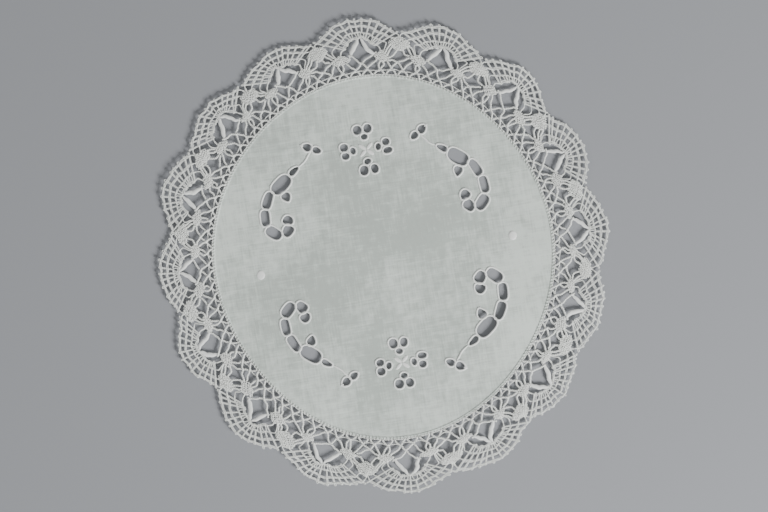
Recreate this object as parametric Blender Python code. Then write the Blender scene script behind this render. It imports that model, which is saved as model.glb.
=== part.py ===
"""Lace doily: an oval linen centre with cutwork, edged with sixteen lace scallops.

Units are metres, +Z is up. The origin is on the underside, in the middle of the linen. +Y runs
through the two cutwork flowers, and bearings are taken clockwise from +Y, seen from above.
"""
import math
from typing import NamedTuple

import bmesh
import bpy
from mathutils import Vector

MM = 0.001

# ---------------------------------------------------------------- driving dimensions
LINEN_RADIUS = 77.0 * MM
LINEN_THICK = 1.0 * MM
HEM_WIDTH = 2.4 * MM
HEM_THICK = 1.3 * MM
SEAM_GAP = 0.3 * MM
LACE_THICK = 1.2 * MM
MEAN_HALF_PITCH = 17.7 * MM
MEAN_PEAK = 25.4 * MM
SCALLOP_ROUNDNESS = 1.3
RIM_STEPS = 96
SCALLOP_STEPS = 14
GAP_CORNERS = 6
WIDE_GAP_CORNERS = 8
WIDE_GAP_MM = 4.0
OPENING_CORNERS = 8
LONG_OPENING_CORNERS = 12
LONG_OPENING_MM = 2.4
BEND_REST = 0.35
SHARP_ANGLE = math.radians(40.0)
LINEN_COLOUR = (0.56, 0.57, 0.53, 1.0)
LACE_COLOUR = (0.60, 0.61, 0.57, 1.0)
THREAD_ROUGHNESS = 0.85


class Wave(NamedTuple):
    """One ripple in the linen's outline: its count around, its height and its crest's bearing."""

    count: int
    height_mm: float
    crest_deg: float


class Scallop(NamedTuple):
    """One scallop: its tip's bearing, its reach there and the reach in the valley after it.

    aside and rise are how far its middle was pulled clockwise and outward as it was pinned out.
    """

    tip_deg: float
    tip_mm: float
    valley_mm: float
    aside_mm: float
    rise_mm: float


class LaceGap(NamedTuple):
    """One open space in a lace repeat, placed from the scallop's foot centre.

    across and reach place its middle, and lean turns its long way clockwise from straight
    outward. belly brings its widest place inward, bend bows it clockwise, and point is 1 for an
    oval and 2 for a lozenge.
    """

    name: str
    across_mm: float
    reach_mm: float
    long_mm: float
    wide_mm: float
    lean_deg: float
    belly_mm: float
    bend_mm: float
    point: float


class Opening(NamedTuple):
    """One opening of the cutwork: its middle, half sizes and lean, and how its oval is reshaped.

    taper widens its far end, bend bows its length, and squareness is the power of its oval: 2
    gives an ellipse, and more gives fuller corners.
    """

    name: str
    x_mm: float
    y_mm: float
    half_long_mm: float
    half_wide_mm: float
    lean_deg: float
    taper: float
    bend_mm: float
    squareness: float


class Corner(NamedTuple):
    """One corner of the mirrored design, with the shift, turn and stretch that hand work gave."""

    side_x: int
    side_y: int
    shift_x_mm: float
    shift_y_mm: float
    turn_deg: float
    stretch_x: float
    stretch_y: float


OUTLINE_WAVES = (
    Wave(2, 2.66, 0.0),
    Wave(3, 0.46, 62.2),
    Wave(4, 0.69, 7.6),
)

SCALLOPS = (
    Scallop(2.3, 25.8, 19.3, 1.0, -1.0),
    Scallop(24.8, 25.8, 20.0, 0.9, -0.6),
    Scallop(47.8, 27.0, 19.9, 0.2, 0.7),
    Scallop(69.1, 26.1, 19.7, 0.8, -1.0),
    Scallop(91.4, 24.9, 20.4, 0.3, 0.2),
    Scallop(114.4, 24.5, 20.0, -0.2, -0.3),
    Scallop(137.0, 24.3, 19.8, 0.4, 0.3),
    Scallop(159.3, 24.6, 19.8, 0.0, -0.4),
    Scallop(182.7, 24.4, 20.0, -0.3, 0.0),
    Scallop(205.6, 25.0, 20.3, 0.2, 0.3),
    Scallop(229.7, 26.8, 19.3, -1.3, 0.2),
    Scallop(252.2, 25.6, 19.2, -0.5, 0.3),
    Scallop(275.0, 24.6, 18.4, -0.4, -1.1),
    Scallop(296.4, 26.2, 20.9, -0.2, -1.1),
    Scallop(318.8, 25.9, 20.4, 0.5, 0.8),
    Scallop(339.7, 24.6, 19.1, 0.9, 0.4),
)

LACE_GAPS = (
    LaceGap("kite", 0.4, 11.0, 7.8, 7.0, 2.0, 1.9, 0.0, 2.0),
    LaceGap("left crescent", -4.9, 12.8, 6.2, 2.1, 30.0, 0.0, -0.9, 1.0),
    LaceGap("right crescent", 5.8, 12.9, 6.4, 2.1, -30.0, 0.0, 0.9, 1.0),
    LaceGap("between repeats", 17.7, 8.6, 4.4, 4.2, 0.0, 0.0, 0.0, 1.0),
    LaceGap("left of crossing", -3.1, 5.9, 4.4, 2.2, -50.0, 0.0, -0.3, 1.0),
    LaceGap("right of crossing", 3.9, 5.9, 4.4, 2.2, 50.0, 0.0, 0.3, 1.0),
    LaceGap("outside left legs", -12.0, 4.3, 3.3, 2.0, 32.0, 0.0, 0.0, 1.0),
    LaceGap("inside left legs", -6.3, 3.9, 3.8, 2.3, -34.0, 0.0, 0.0, 1.0),
    LaceGap("inside right legs", 6.8, 3.7, 3.4, 2.2, 34.0, 0.0, 0.0, 1.0),
    LaceGap("outside right legs", 12.4, 3.8, 3.0, 2.0, -22.0, 0.0, 0.0, 1.0),
    LaceGap("left lattice", -14.7, 5.4, 3.2, 1.6, 54.0, 0.0, 0.0, 1.0),
    LaceGap("right lattice", 15.2, 5.3, 2.8, 1.6, -56.0, 0.0, 0.0, 1.0),
    LaceGap("left of fan", -9.7, 13.8, 2.9, 2.1, -30.0, 0.0, 0.0, 1.0),
    LaceGap("right of fan", 10.4, 13.2, 3.2, 2.0, -5.0, 0.0, 0.0, 1.0),
)

# The openings of the upper right corner: the scroll from its tail to its curl, its spur, a leaf.
CORNER_OPENINGS = (
    Opening("tail", 32.75, 43.45, 2.35, 0.95, -34.0, 0.4, -0.15, 2.3),
    Opening("belly", 39.3, 38.4, 4.7, 2.75, -37.5, 0.0, 0.1, 2.8),
    Opening("upper neck", 46.25, 32.5, 3.65, 1.7, -63.5, 0.1, -0.15, 3.5),
    Opening("lower neck", 48.7, 24.75, 3.4, 1.7, -86.0, 0.0, -0.1, 3.6),
    Opening("turn", 46.25, 17.45, 3.45, 2.15, -137.0, -0.05, -0.05, 2.9),
    Opening("inner turn", 40.0, 17.15, 2.4, 2.0, -230.0, 0.15, 0.25, 2.6),
    Opening("curl", 39.15, 22.1, 1.75, 2.0, 112.0, -0.25, -0.2, 2.4),
    Opening("spur", 38.05, 32.4, 2.0, 1.6, 66.0, 0.5, -0.15, 1.9),
    Opening("leaf, inner", 21.4, 50.8, 1.75, 1.2, 30.0, 0.25, 0.0, 1.9),
    Opening("leaf, outer", 25.45, 53.0, 1.9, 1.45, 32.0, -0.3, 0.0, 1.9),
)
SCROLL_MIDDLE = Vector((40.0, 32.0)) * MM
CORNERS = (
    Corner(-1, +1, 0.2, 0.3, -0.9, 1.014, 0.973),
    Corner(+1, +1, 0.2, -0.7, 1.7, 0.954, 1.036),
    Corner(-1, -1, -0.4, -1.0, -0.2, 0.966, 0.997),
    Corner(+1, -1, 0.2, -0.5, 0.2, 1.024, 1.043),
)

# The openings of one flower, placed from its middle, with +Y toward the lace.
FLOWER_REACH = 47.7 * MM
FLOWER_OPENINGS = (
    Opening("top, left", -2.6, 9.0, 1.75, 1.8, 12.0, 0.0, 0.0, 2.2),
    Opening("top, right", 2.0, 9.1, 1.6, 1.75, -12.0, 0.0, 0.0, 2.2),
    Opening("top, inner", 0.0, 5.7, 1.3, 1.05, 0.0, 0.0, 0.0, 2.0),
    Opening("left, inner", -5.9, 0.3, 1.0, 1.35, 12.0, 0.0, 0.0, 2.0),
    Opening("left, upper", -9.6, 2.3, 1.6, 1.5, 0.0, 0.0, 0.0, 2.2),
    Opening("left, lower", -9.5, -1.5, 1.5, 1.3, -10.0, 0.0, 0.0, 2.2),
    Opening("right, inner", 5.4, 0.4, 1.0, 1.35, -12.0, 0.0, 0.0, 2.0),
    Opening("right, upper", 9.0, 2.0, 1.45, 1.35, 0.0, 0.0, 0.0, 2.2),
    Opening("right, lower", 9.3, -1.8, 1.8, 1.15, 5.0, 0.0, 0.0, 2.3),
    Opening("low, inner", -0.3, -5.3, 1.35, 1.05, 15.0, 0.0, 0.0, 2.0),
    Opening("low, left", -2.4, -9.0, 1.7, 1.95, -12.0, 0.0, 0.0, 2.2),
    Opening("low, right", 2.3, -8.9, 1.45, 1.8, 12.0, 0.0, 0.0, 2.2),
)


# ---------------------------------------------------------------- outlines
def linen_radius(bearing_deg):
    """Return the linen's radius at a bearing: a circle plus the ripples of OUTLINE_WAVES."""
    radius = LINEN_RADIUS
    for wave in OUTLINE_WAVES:
        turn = math.radians(wave.count * (bearing_deg - wave.crest_deg))
        radius += wave.height_mm * MM * math.cos(turn)
    return radius


def place(bearing_deg, beyond_linen):
    """Return the point at a bearing, a given distance outside the linen's edge."""
    radius = linen_radius(bearing_deg) + beyond_linen
    bearing = math.radians(bearing_deg)
    return Vector((radius * math.sin(bearing), radius * math.cos(bearing)))


def rim(beyond_linen):
    """Return a closed loop that follows the linen's edge, a given distance outside it."""
    step_deg = 360.0 / RIM_STEPS
    return [place(step * step_deg, beyond_linen) for step in range(RIM_STEPS)]


def valley_bearings(index):
    """Return the bearings of the valleys before and after one scallop."""
    here = SCALLOPS[index].tip_deg
    before = SCALLOPS[index - 1].tip_deg
    after = SCALLOPS[(index + 1) % len(SCALLOPS)].tip_deg
    before_deg = here - ((here - before) % 360.0) / 2.0
    after_deg = here + ((after - here) % 360.0) / 2.0
    return before_deg, after_deg


def repeat_bearing(index, across):
    """Return the bearing of a place in a repeat; across runs from -1 to 1, valley to valley."""
    here = SCALLOPS[index].tip_deg
    before_deg, after_deg = valley_bearings(index)
    if across < 0.0:
        return here + across * (here - before_deg)
    return here + across * (after_deg - here)


def scallop_reach(index, across):
    """Return how far the edge stands beyond the foot: a rounded hump between two valleys."""
    valley = SCALLOPS[index - 1].valley_mm if across < 0.0 else SCALLOPS[index].valley_mm
    hump = math.cos(math.pi / 2.0 * min(abs(across), 1.0)) ** SCALLOP_ROUNDNESS
    return (valley + (SCALLOPS[index].tip_mm - valley) * hump) * MM


def lace_outline():
    """Return the scalloped outer edge as one closed loop."""
    loop = []
    for index in range(len(SCALLOPS)):
        for step in range(SCALLOP_STEPS):
            across = -1.0 + 2.0 * step / SCALLOP_STEPS
            loop.append(place(repeat_bearing(index, across), scallop_reach(index, across)))
    return loop


# ---------------------------------------------------------------- openings
def lace_gap_outline(gap):
    """Return a gap's outline from its foot centre, as (across, reach) in metres.

    It has GAP_CORNERS corners, or WIDE_GAP_CORNERS on a wide one, round an oval or a lozenge whose
    widest place can be moved inward and whose middle line can be bowed.
    """
    corners = WIDE_GAP_CORNERS if gap.wide_mm > WIDE_GAP_MM else GAP_CORNERS
    lean = math.radians(gap.lean_deg)
    outline = []
    for corner in range(corners):
        turn = 2.0 * math.pi * corner / corners
        ahead = math.copysign(abs(math.cos(turn)) ** gap.point, math.cos(turn))
        sideways = math.copysign(abs(math.sin(turn)) ** gap.point, math.sin(turn))
        along = 0.5 * gap.long_mm * ahead - gap.belly_mm * abs(sideways)
        aside = 0.5 * gap.wide_mm * sideways + gap.bend_mm * (0.5 - ahead * ahead)
        across = gap.across_mm + along * math.sin(lean) + aside * math.cos(lean)
        reach = gap.reach_mm + along * math.cos(lean) - aside * math.sin(lean)
        outline.append((across * MM, reach * MM))
    return outline


def lace_openings():
    """Return the outlines of all gaps of all repeats, each pulled to its own scallop's shape."""
    loops = []
    for index in range(len(SCALLOPS)):
        for gap in LACE_GAPS:
            outline = lace_gap_outline(gap)
            loops.append([in_repeat(index, across, reach) for across, reach in outline])
    return loops


def in_repeat(index, across, reach):
    """Return the point of a repeat at a distance across and beyond its foot centre.

    The pull of the scallop's middle fades to nothing at its foot, its tip and its valleys.
    """
    scallop = SCALLOPS[index]
    fade = max(0.0, math.cos(0.5 * math.pi * min(1.0, abs(across) / MEAN_HALF_PITCH)))
    fade *= math.sin(math.pi * min(1.0, reach / MEAN_PEAK))
    bearing = repeat_bearing(index, (across + fade * scallop.aside_mm * MM) / MEAN_HALF_PITCH)
    stretch = scallop.tip_mm * MM / MEAN_PEAK
    return place(bearing, SEAM_GAP + reach * stretch + fade * scallop.rise_mm * MM)


def opening_outline(opening):
    """Return an opening's outline: an oval of powers of sine and cosine, tapered and bowed."""
    corners = LONG_OPENING_CORNERS if opening.half_long_mm > LONG_OPENING_MM else OPENING_CORNERS
    lean = math.radians(opening.lean_deg)
    power = 2.0 / opening.squareness
    outline = []
    for corner in range(corners):
        turn = 2.0 * math.pi * (corner + 0.5) / corners
        along = math.copysign(abs(math.cos(turn)) ** power, math.cos(turn))
        aside = math.copysign(abs(math.sin(turn)) ** power, math.sin(turn))
        x = opening.half_long_mm * along
        y = opening.half_wide_mm * aside * (1.0 + opening.taper * along)
        y += opening.bend_mm * (along * along - BEND_REST)
        across = opening.x_mm + x * math.cos(lean) - y * math.sin(lean)
        up = opening.y_mm + x * math.sin(lean) + y * math.cos(lean)
        outline.append(Vector((across, up)) * MM)
    return outline


def in_corner(points, corner):
    """Return points of the upper right corner, carried into another one.

    They are stretched and turned about the scroll's middle, shifted, and mirrored.
    """
    turn = math.radians(corner.turn_deg)
    placed = []
    for point in points:
        x = corner.stretch_x * (point.x - SCROLL_MIDDLE.x)
        y = corner.stretch_y * (point.y - SCROLL_MIDDLE.y)
        across = SCROLL_MIDDLE.x + x * math.cos(turn) - y * math.sin(turn)
        up = SCROLL_MIDDLE.y + x * math.sin(turn) + y * math.cos(turn)
        across += corner.shift_x_mm * MM
        up += corner.shift_y_mm * MM
        placed.append(Vector((corner.side_x * across, corner.side_y * up)))
    return placed


def cutwork_openings():
    """Return the outlines of the scrolls, leaves and flowers cut through the linen."""
    loops = []
    for corner in CORNERS:
        for opening in CORNER_OPENINGS:
            loops.append(in_corner(opening_outline(opening), corner))
    for side in (+1, -1):
        for opening in FLOWER_OPENINGS:
            outline = opening_outline(opening)
            loops.append([Vector((point.x, side * (point.y + FLOWER_REACH))) for point in outline])
    return loops


# ---------------------------------------------------------------- solids
def add_loop(mesh, points):
    """Add one closed loop of edges at height zero; return its vertices and edges."""
    verts = [mesh.verts.new((point.x, point.y, 0.0)) for point in points]
    edges = [mesh.edges.new((verts[index - 1], verts[index])) for index in range(len(verts))]
    return verts, edges


def fill_between(mesh, edges):
    """Fill the area inside the outer loop of edges and outside the loops within it."""
    bmesh.ops.triangle_fill(mesh, use_beauty=True, use_dissolve=False, edges=edges)


def thicken(mesh, thickness):
    """Raise the flat sheet into a solid of even thickness, standing on height zero."""
    bmesh.ops.recalc_face_normals(mesh, faces=mesh.faces)
    if sum(face.normal.z for face in mesh.faces) > 0.0:
        bmesh.ops.reverse_faces(mesh, faces=mesh.faces)
    raised = bmesh.ops.extrude_face_region(mesh, geom=mesh.faces[:], use_keep_orig=True)
    tops = [item for item in raised["geom"] if isinstance(item, bmesh.types.BMVert)]
    bmesh.ops.translate(mesh, verts=tops, vec=(0.0, 0.0, thickness))
    bmesh.ops.recalc_face_normals(mesh, faces=mesh.faces)


def make_material(name, colour):
    """Return a plain matt material of one colour."""
    material = bpy.data.materials.new(name)
    material.use_nodes = True
    shader = material.node_tree.nodes["Principled BSDF"]
    shader.inputs["Base Color"].default_value = colour
    shader.inputs["Roughness"].default_value = THREAD_ROUGHNESS
    shader.inputs["Metallic"].default_value = 0.0
    return material


def make_object(name, mesh, colour):
    """Turn a finished solid into a named object with its own material."""
    data = bpy.data.meshes.new(name)
    mesh.to_mesh(data)
    mesh.free()
    data.shade_smooth()
    data.set_sharp_from_angle(angle=SHARP_ANGLE)
    data.materials.append(make_material(name + "_material", colour))
    piece = bpy.data.objects.new(name, data)
    bpy.context.collection.objects.link(piece)
    return piece


def build_linen():
    """Build the linen centre: a flat oval with its cutwork and a slightly thicker hem."""
    mesh = bmesh.new()
    field_verts, field_edges = add_loop(mesh, rim(-HEM_WIDTH))
    hem_verts, _ = add_loop(mesh, rim(0.0))
    edges = list(field_edges)
    for outline in cutwork_openings():
        edges += add_loop(mesh, outline)[1]
    fill_between(mesh, edges)
    for index in range(RIM_STEPS):
        inner = (field_verts[index - 1], field_verts[index])
        mesh.faces.new((inner[0], inner[1], hem_verts[index], hem_verts[index - 1]))
    thicken(mesh, LINEN_THICK)
    for vert in mesh.verts:
        on_hem = any((vert.co.xy - other.co.xy).length < 0.01 * MM for other in hem_verts)
        if on_hem and vert.co.z > 0.5 * LINEN_THICK:
            vert.co.z = HEM_THICK
    bmesh.ops.triangulate(mesh, faces=mesh.faces)
    return make_object("linen_centre", mesh, LINEN_COLOUR)


def build_lace():
    """Build the lace edging: a flat scalloped ring with the gaps of every repeat."""
    mesh = bmesh.new()
    edges = add_loop(mesh, lace_outline())[1]
    edges += add_loop(mesh, rim(SEAM_GAP))[1]
    for outline in lace_openings():
        edges += add_loop(mesh, outline)[1]
    fill_between(mesh, edges)
    thicken(mesh, LACE_THICK)
    bmesh.ops.triangulate(mesh, faces=mesh.faces)
    return make_object("lace_edging", mesh, LACE_COLOUR)


def clear_scene():
    """Remove every object that the scene starts with."""
    for item in list(bpy.data.objects):
        bpy.data.objects.remove(item, do_unlink=True)


clear_scene()
build_linen()
build_lace()
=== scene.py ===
"""Lace doily: a linen centre with cutwork, edged with sixteen scallops of bobbin lace.

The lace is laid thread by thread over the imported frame: footside, ground, woven spiders, leaves,
fans and the picots of their edge. The linen is a thin sheet with its cutwork open, its rims and
bars stitched over, and its hem whipped to the lace. Lengths in tables are millimetres; meshes are
metres. +Y runs through the two cutwork flowers, and bearings are clockwise from it, from above.
"""
from __future__ import annotations

import logging
import math
from dataclasses import dataclass
from enum import Enum
from functools import partial
from typing import Callable, Iterable, NamedTuple, Sequence

import bpy
import numpy as np
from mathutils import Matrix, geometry

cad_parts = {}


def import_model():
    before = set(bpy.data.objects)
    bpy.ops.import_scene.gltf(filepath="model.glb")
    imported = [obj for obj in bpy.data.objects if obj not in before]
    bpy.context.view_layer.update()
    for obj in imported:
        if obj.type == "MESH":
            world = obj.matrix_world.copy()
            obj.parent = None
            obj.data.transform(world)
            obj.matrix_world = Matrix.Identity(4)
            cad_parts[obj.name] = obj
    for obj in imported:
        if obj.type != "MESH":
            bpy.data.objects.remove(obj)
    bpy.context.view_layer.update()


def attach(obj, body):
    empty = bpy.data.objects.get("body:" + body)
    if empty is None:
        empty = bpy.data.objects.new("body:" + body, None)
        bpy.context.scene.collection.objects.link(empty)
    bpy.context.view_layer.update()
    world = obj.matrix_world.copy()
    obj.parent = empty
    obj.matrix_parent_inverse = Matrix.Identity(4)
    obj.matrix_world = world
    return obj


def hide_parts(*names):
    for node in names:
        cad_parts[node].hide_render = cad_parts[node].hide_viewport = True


MM = 0.001
TAU = 2.0 * math.pi
LOG = logging.getLogger("doily")
Socket = bpy.types.NodeSocket
WRAP_ATTRIBUTE = "thread_wrap"

# The angle from which the linen's edges are sharp, how finely a curve is drawn between its knots,
# the fewest points of a line, and the least length that has a direction.
SHARP_DEG = 50.0
SAMPLES_PER_KNOT = 12
FEWEST_POINTS = 3
LEAST_LENGTH = 1e-9


# ------------------------------------------------------------------ the doily's plan
class Wave(NamedTuple):
    """One wave round the doily: its count around, its height and its crest's bearing.

    The height is in millimetres or, for a wave that bends another one, in radians.
    """

    count: int
    height: float
    crest_deg: float

    def at(self, bearing: np.ndarray, bend: np.ndarray | float = 0.0) -> np.ndarray:
        """Return its height times the cosine of its turns past the crest, plus a bend in radians."""
        turn = self.count * (bearing - math.radians(self.crest_deg))
        return self.height * np.cos(turn + bend)


class Ripple(NamedTuple):
    """One ripple over the flat: its height, its radians for each millimetre of x and y, its phase."""

    height: float
    x_turn: float
    y_turn: float
    phase: float = 0.0

    def at(self, x: np.ndarray, y: np.ndarray, bend: np.ndarray | float = 0.0) -> np.ndarray:
        """Return its height times the sine of its turns and its phase, plus a bend in radians."""
        turn = x * self.x_turn + y * self.y_turn + self.phase
        return self.height * np.sin(turn + bend)


def round_spots(bearing: np.ndarray, radius: np.ndarray) -> np.ndarray:
    """Find the points at given bearings and radii."""
    return np.stack([radius * np.sin(bearing), radius * np.cos(bearing)], axis=-1)


class Scallop(NamedTuple):
    """One scallop: tip's bearing and reach, reach of the valley after it, and its middle's pull."""

    tip_deg: float
    tip_mm: float
    valley_mm: float
    aside_mm: float
    rise_mm: float


# The linen's mean radius, the seam beside it, half a repeat's width at the foot, the pins' pitch
# there, and the mean reach of the scallops' tips, whose hump is a cosine to this power.
LINEN_RADIUS_MM = 77.0
SEAM_GAP_MM = 0.3
HALF_PITCH_MM = 17.7
PIN_PITCH_MM = HALF_PITCH_MM / 3.0
MEAN_PEAK_MM = 25.4
SCALLOP_ROUNDNESS = 1.3

OUTLINE_WAVES = (
    Wave(2, 2.66, 0.0),
    Wave(3, 0.46, 62.2),
    Wave(4, 0.69, 7.6),
)

# How far every thread wavers from its even place, in x and in y.
WAVER_X = (
    Ripple(0.32, 0.53, 0.31, 0.7),
    Ripple(0.16, 0.0, 1.13, 2.0),
    Ripple(0.128, 1.31, 1.77),
)
WAVER_Y = (
    Ripple(0.32, -0.37, 0.47, 1.9),
    Ripple(0.16, 1.07, 0.0, 0.4),
    Ripple(0.128, -1.83, 1.23),
)
# How each repeat's own pinning moves its threads aside and outward.
HAND_ASIDE = Ripple(0.42, TAU / 15.0, TAU / 19.0)
HAND_RISE = Ripple(0.42, TAU / 13.0, -TAU / 23.0)

# How the cloth lies: its swells and dents, its lifted scallops, and the puckers beside its hem.
SWELLS = (
    Ripple(0.18, TAU * 0.6 / 97.0, TAU * 0.8 / 97.0, 0.6),
    Ripple(0.14, TAU * 0.8 / 71.0, -TAU * 0.6 / 71.0, 2.1),
    Ripple(0.08, TAU * 0.9 / 43.0, TAU * 0.35 / 43.0, 4.0),
)
DENTS = Ripple(0.16, TAU * 0.97 / 47.0, -TAU * 0.2 / 47.0, 0.8)
DENT_ROWS = Ripple(1.0, TAU * 0.35 / 31.0, TAU * 0.94 / 31.0)
DENT_BEND = Ripple(1.3, TAU / 67.0, 0.0)
TIP_LIFTS = (Wave(5, 0.18, 4.249), Wave(11, 0.12, 8.1818))
FINE_PUCKERS = Wave(41, 0.04, 90.0 / 41.0)
PUCKER_BEND = Wave(5, 1.9, 18.0)
BROAD_PUCKERS = Wave(29, 0.028, -0.848)

SCALLOPS = (
    Scallop(2.3, 25.8, 19.3, 1.0, -1.0),
    Scallop(24.8, 25.8, 20.0, 0.9, -0.6),
    Scallop(47.8, 27.0, 19.9, 0.2, 0.7),
    Scallop(69.1, 26.1, 19.7, 0.8, -1.0),
    Scallop(91.4, 24.9, 20.4, 0.3, 0.2),
    Scallop(114.4, 24.5, 20.0, -0.2, -0.3),
    Scallop(137.0, 24.3, 19.8, 0.4, 0.3),
    Scallop(159.3, 24.6, 19.8, 0.0, -0.4),
    Scallop(182.7, 24.4, 20.0, -0.3, 0.0),
    Scallop(205.6, 25.0, 20.3, 0.2, 0.3),
    Scallop(229.7, 26.8, 19.3, -1.3, 0.2),
    Scallop(252.2, 25.6, 19.2, -0.5, 0.3),
    Scallop(275.0, 24.6, 18.4, -0.4, -1.1),
    Scallop(296.4, 26.2, 20.9, -0.2, -1.1),
    Scallop(318.8, 25.9, 20.4, 0.5, 0.8),
    Scallop(339.7, 24.6, 19.1, 0.9, 0.4),
)
REPEATS = range(len(SCALLOPS))


@dataclass(frozen=True)
class Pinning:
    """Where every thread is pinned: outline, scallops, and the unevenness of hand work.

    Each repeat's own ripples start aside_shift and rise_shift radians after those of the one before.
    """

    hem_fade_mm: float = 4.0
    aside_shift: float = 2.4
    rise_shift: float = 3.9
    lift_power: float = 1.5
    pucker_inside_mm: float = 11.0
    pucker_spread_mm: float = 8.0

    def linen_radius(self, bearing: np.ndarray) -> np.ndarray:
        """Work out the linen's radius in millimetres: a circle plus the waves of OUTLINE_WAVES."""
        return sum((wave.at(bearing) for wave in OUTLINE_WAVES), start=LINEN_RADIUS_MM)

    def place(self, bearing: np.ndarray, beyond: np.ndarray) -> np.ndarray:
        """Find the points at given bearings and distances outside the linen's edge.

        Each point wavers by a few slow sine ripples, which fade out toward the hem.

        Args:
            bearing: Bearings in radians.
            beyond: Distances outside the linen, in millimetres.

        Returns:
            Points of shape (n, 2), in millimetres.
        """
        spot = round_spots(bearing, self.linen_radius(bearing) + beyond)
        x, y = spot[..., 0], spot[..., 1]
        fade = np.clip(beyond / self.hem_fade_mm, 0.0, 1.0)[..., None]
        waver = [sum(ripple.at(x, y) for ripple in ripples) for ripples in (WAVER_X, WAVER_Y)]
        return spot + fade * np.stack(waver, axis=-1)

    def near(self, index: int) -> tuple[Scallop, Scallop, Scallop]:
        """Return the scallop before one, that scallop itself and the one after it."""
        return SCALLOPS[index - 1], SCALLOPS[index], SCALLOPS[(index + 1) % len(SCALLOPS)]

    def bearing(self, index: int, unit: np.ndarray) -> np.ndarray:
        """Turn places in a repeat into bearings; a valley is halfway between two tips.

        Args:
            index: The scallop's row in SCALLOPS.
            unit: Places, from -1 at the valley before to 1 at the valley after.

        Returns:
            Bearings in radians.
        """
        before, here, after = (scallop.tip_deg for scallop in self.near(index))
        pitch = np.where(unit < 0.0, (here - before) % 360.0, (after - here) % 360.0)
        return np.radians(here + unit * pitch / 2.0)

    def stretch(self, index: int, unit: np.ndarray) -> np.ndarray:
        """Work out how tall a repeat is pulled: its own height at the tip, shared in the valleys.

        Args:
            index: The scallop's row in SCALLOPS.
            unit: Places, from -1 at the valley before to 1 at the valley after.

        Returns:
            Shares of the mean height.
        """
        before, here, after = (scallop.tip_mm for scallop in self.near(index))
        valley = 0.5 * (here + np.where(unit < 0.0, before, after))
        share = np.clip(np.abs(unit), 0.0, 1.0)
        return (here + (valley - here) * share) / MEAN_PEAK_MM

    def in_repeat(self, index: int, across: np.ndarray, reach: np.ndarray) -> np.ndarray:
        """Find the points of a repeat from their distances across and beyond its foot centre.

        The pull of the scallop's middle fades as a cosine across it and a sine up it. So do two
        slanting sine ripples, whose phase is each repeat's own, as no two are pinned alike.

        Args:
            index: The scallop's row in SCALLOPS.
            across: Distances clockwise from the foot centre, in millimetres.
            reach: Distances outward from the foot, in millimetres.

        Returns:
            Points of shape (n, 2), in millimetres.
        """
        fade = np.cos(0.5 * math.pi * np.clip(np.abs(across) / HALF_PITCH_MM, 0.0, 1.0))
        fade = fade * np.sin(math.pi * np.clip(reach / MEAN_PEAK_MM, 0.0, 1.0))
        aside = SCALLOPS[index].aside_mm + HAND_ASIDE.at(across, reach, self.aside_shift * index)
        rise = SCALLOPS[index].rise_mm + HAND_RISE.at(across, reach, self.rise_shift * index)
        unit = (across + fade * aside) / HALF_PITCH_MM
        beyond = reach * self.stretch(index, unit) + fade * rise
        return self.place(self.bearing(index, unit), SEAM_GAP_MM + beyond)

    def edge(self, index: int, unit: np.ndarray) -> np.ndarray:
        """Work out the edge's reach: a rounded cosine hump between its two valleys.

        Args:
            index: The scallop's row in SCALLOPS.
            unit: Places, from -1 at the valley before to 1 at the valley after.

        Returns:
            Distances outside the linen, in millimetres.
        """
        before, here, _ = self.near(index)
        valley = np.where(unit < 0.0, before.valley_mm, here.valley_mm)
        hump = np.cos(0.5 * math.pi * np.clip(np.abs(unit), 0.0, 1.0)) ** SCALLOP_ROUNDNESS
        return valley + (here.tip_mm - valley) * hump

    def lie(self, spot: np.ndarray) -> np.ndarray:
        """Work out how far the cloth stands off the table, which is never below nought.

        Swells are sums of sines. A dent is the product of two sines, one of them bent, so that the
        dents don't repeat. The scallops' tips lift as a power of the distance beyond the hem. The
        hem draws the linen into faint radial puckers, under a bell curve of the distance inside it.

        Args:
            spot: Points of shape (n, 2), in millimetres.

        Returns:
            Heights in millimetres.
        """
        x, y = spot[..., 0], spot[..., 1]
        bearing = np.arctan2(x, y)
        beyond = np.hypot(x, y) - LINEN_RADIUS_MM
        swell = sum(ripple.height + ripple.at(x, y) for ripple in SWELLS)
        dent = DENTS.height + DENTS.at(x, y) * DENT_ROWS.at(x, y, DENT_BEND.at(x, y))
        tip = np.clip(beyond / MEAN_PEAK_MM, 0.0, 1.0) ** self.lift_power
        lift = sum(wave.height + wave.at(bearing) for wave in TIP_LIFTS)
        pucker = FINE_PUCKERS.height + FINE_PUCKERS.at(bearing, PUCKER_BEND.at(bearing))
        pucker += BROAD_PUCKERS.height + BROAD_PUCKERS.at(bearing)
        bell = np.exp(-(((beyond + self.pucker_inside_mm) / self.pucker_spread_mm) ** 2))
        return swell + dent + tip * lift + bell * pucker

    def laid(self, spots: np.ndarray, height: np.ndarray | float) -> np.ndarray:
        """Give flat points their height: the cloth's own lie plus a height above its underside."""
        return np.column_stack([spots, self.lie(spots) + height])


# ------------------------------------------------------------------ meshes
class Patch(NamedTuple):
    """A piece of surface: points in metres, four-cornered faces and three-cornered faces.

    A thread's wraps give each corner of its four-cornered faces a share of the way round it, and
    the length run along it in millimetres. Its ply twist follows them.
    """

    points: np.ndarray
    quads: np.ndarray
    tris: np.ndarray
    wraps: np.ndarray | None = None


def no_faces(corners: int) -> np.ndarray:
    """Return an empty list of faces with the given number of corners."""
    return np.zeros((0, corners), dtype=np.int32)


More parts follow.
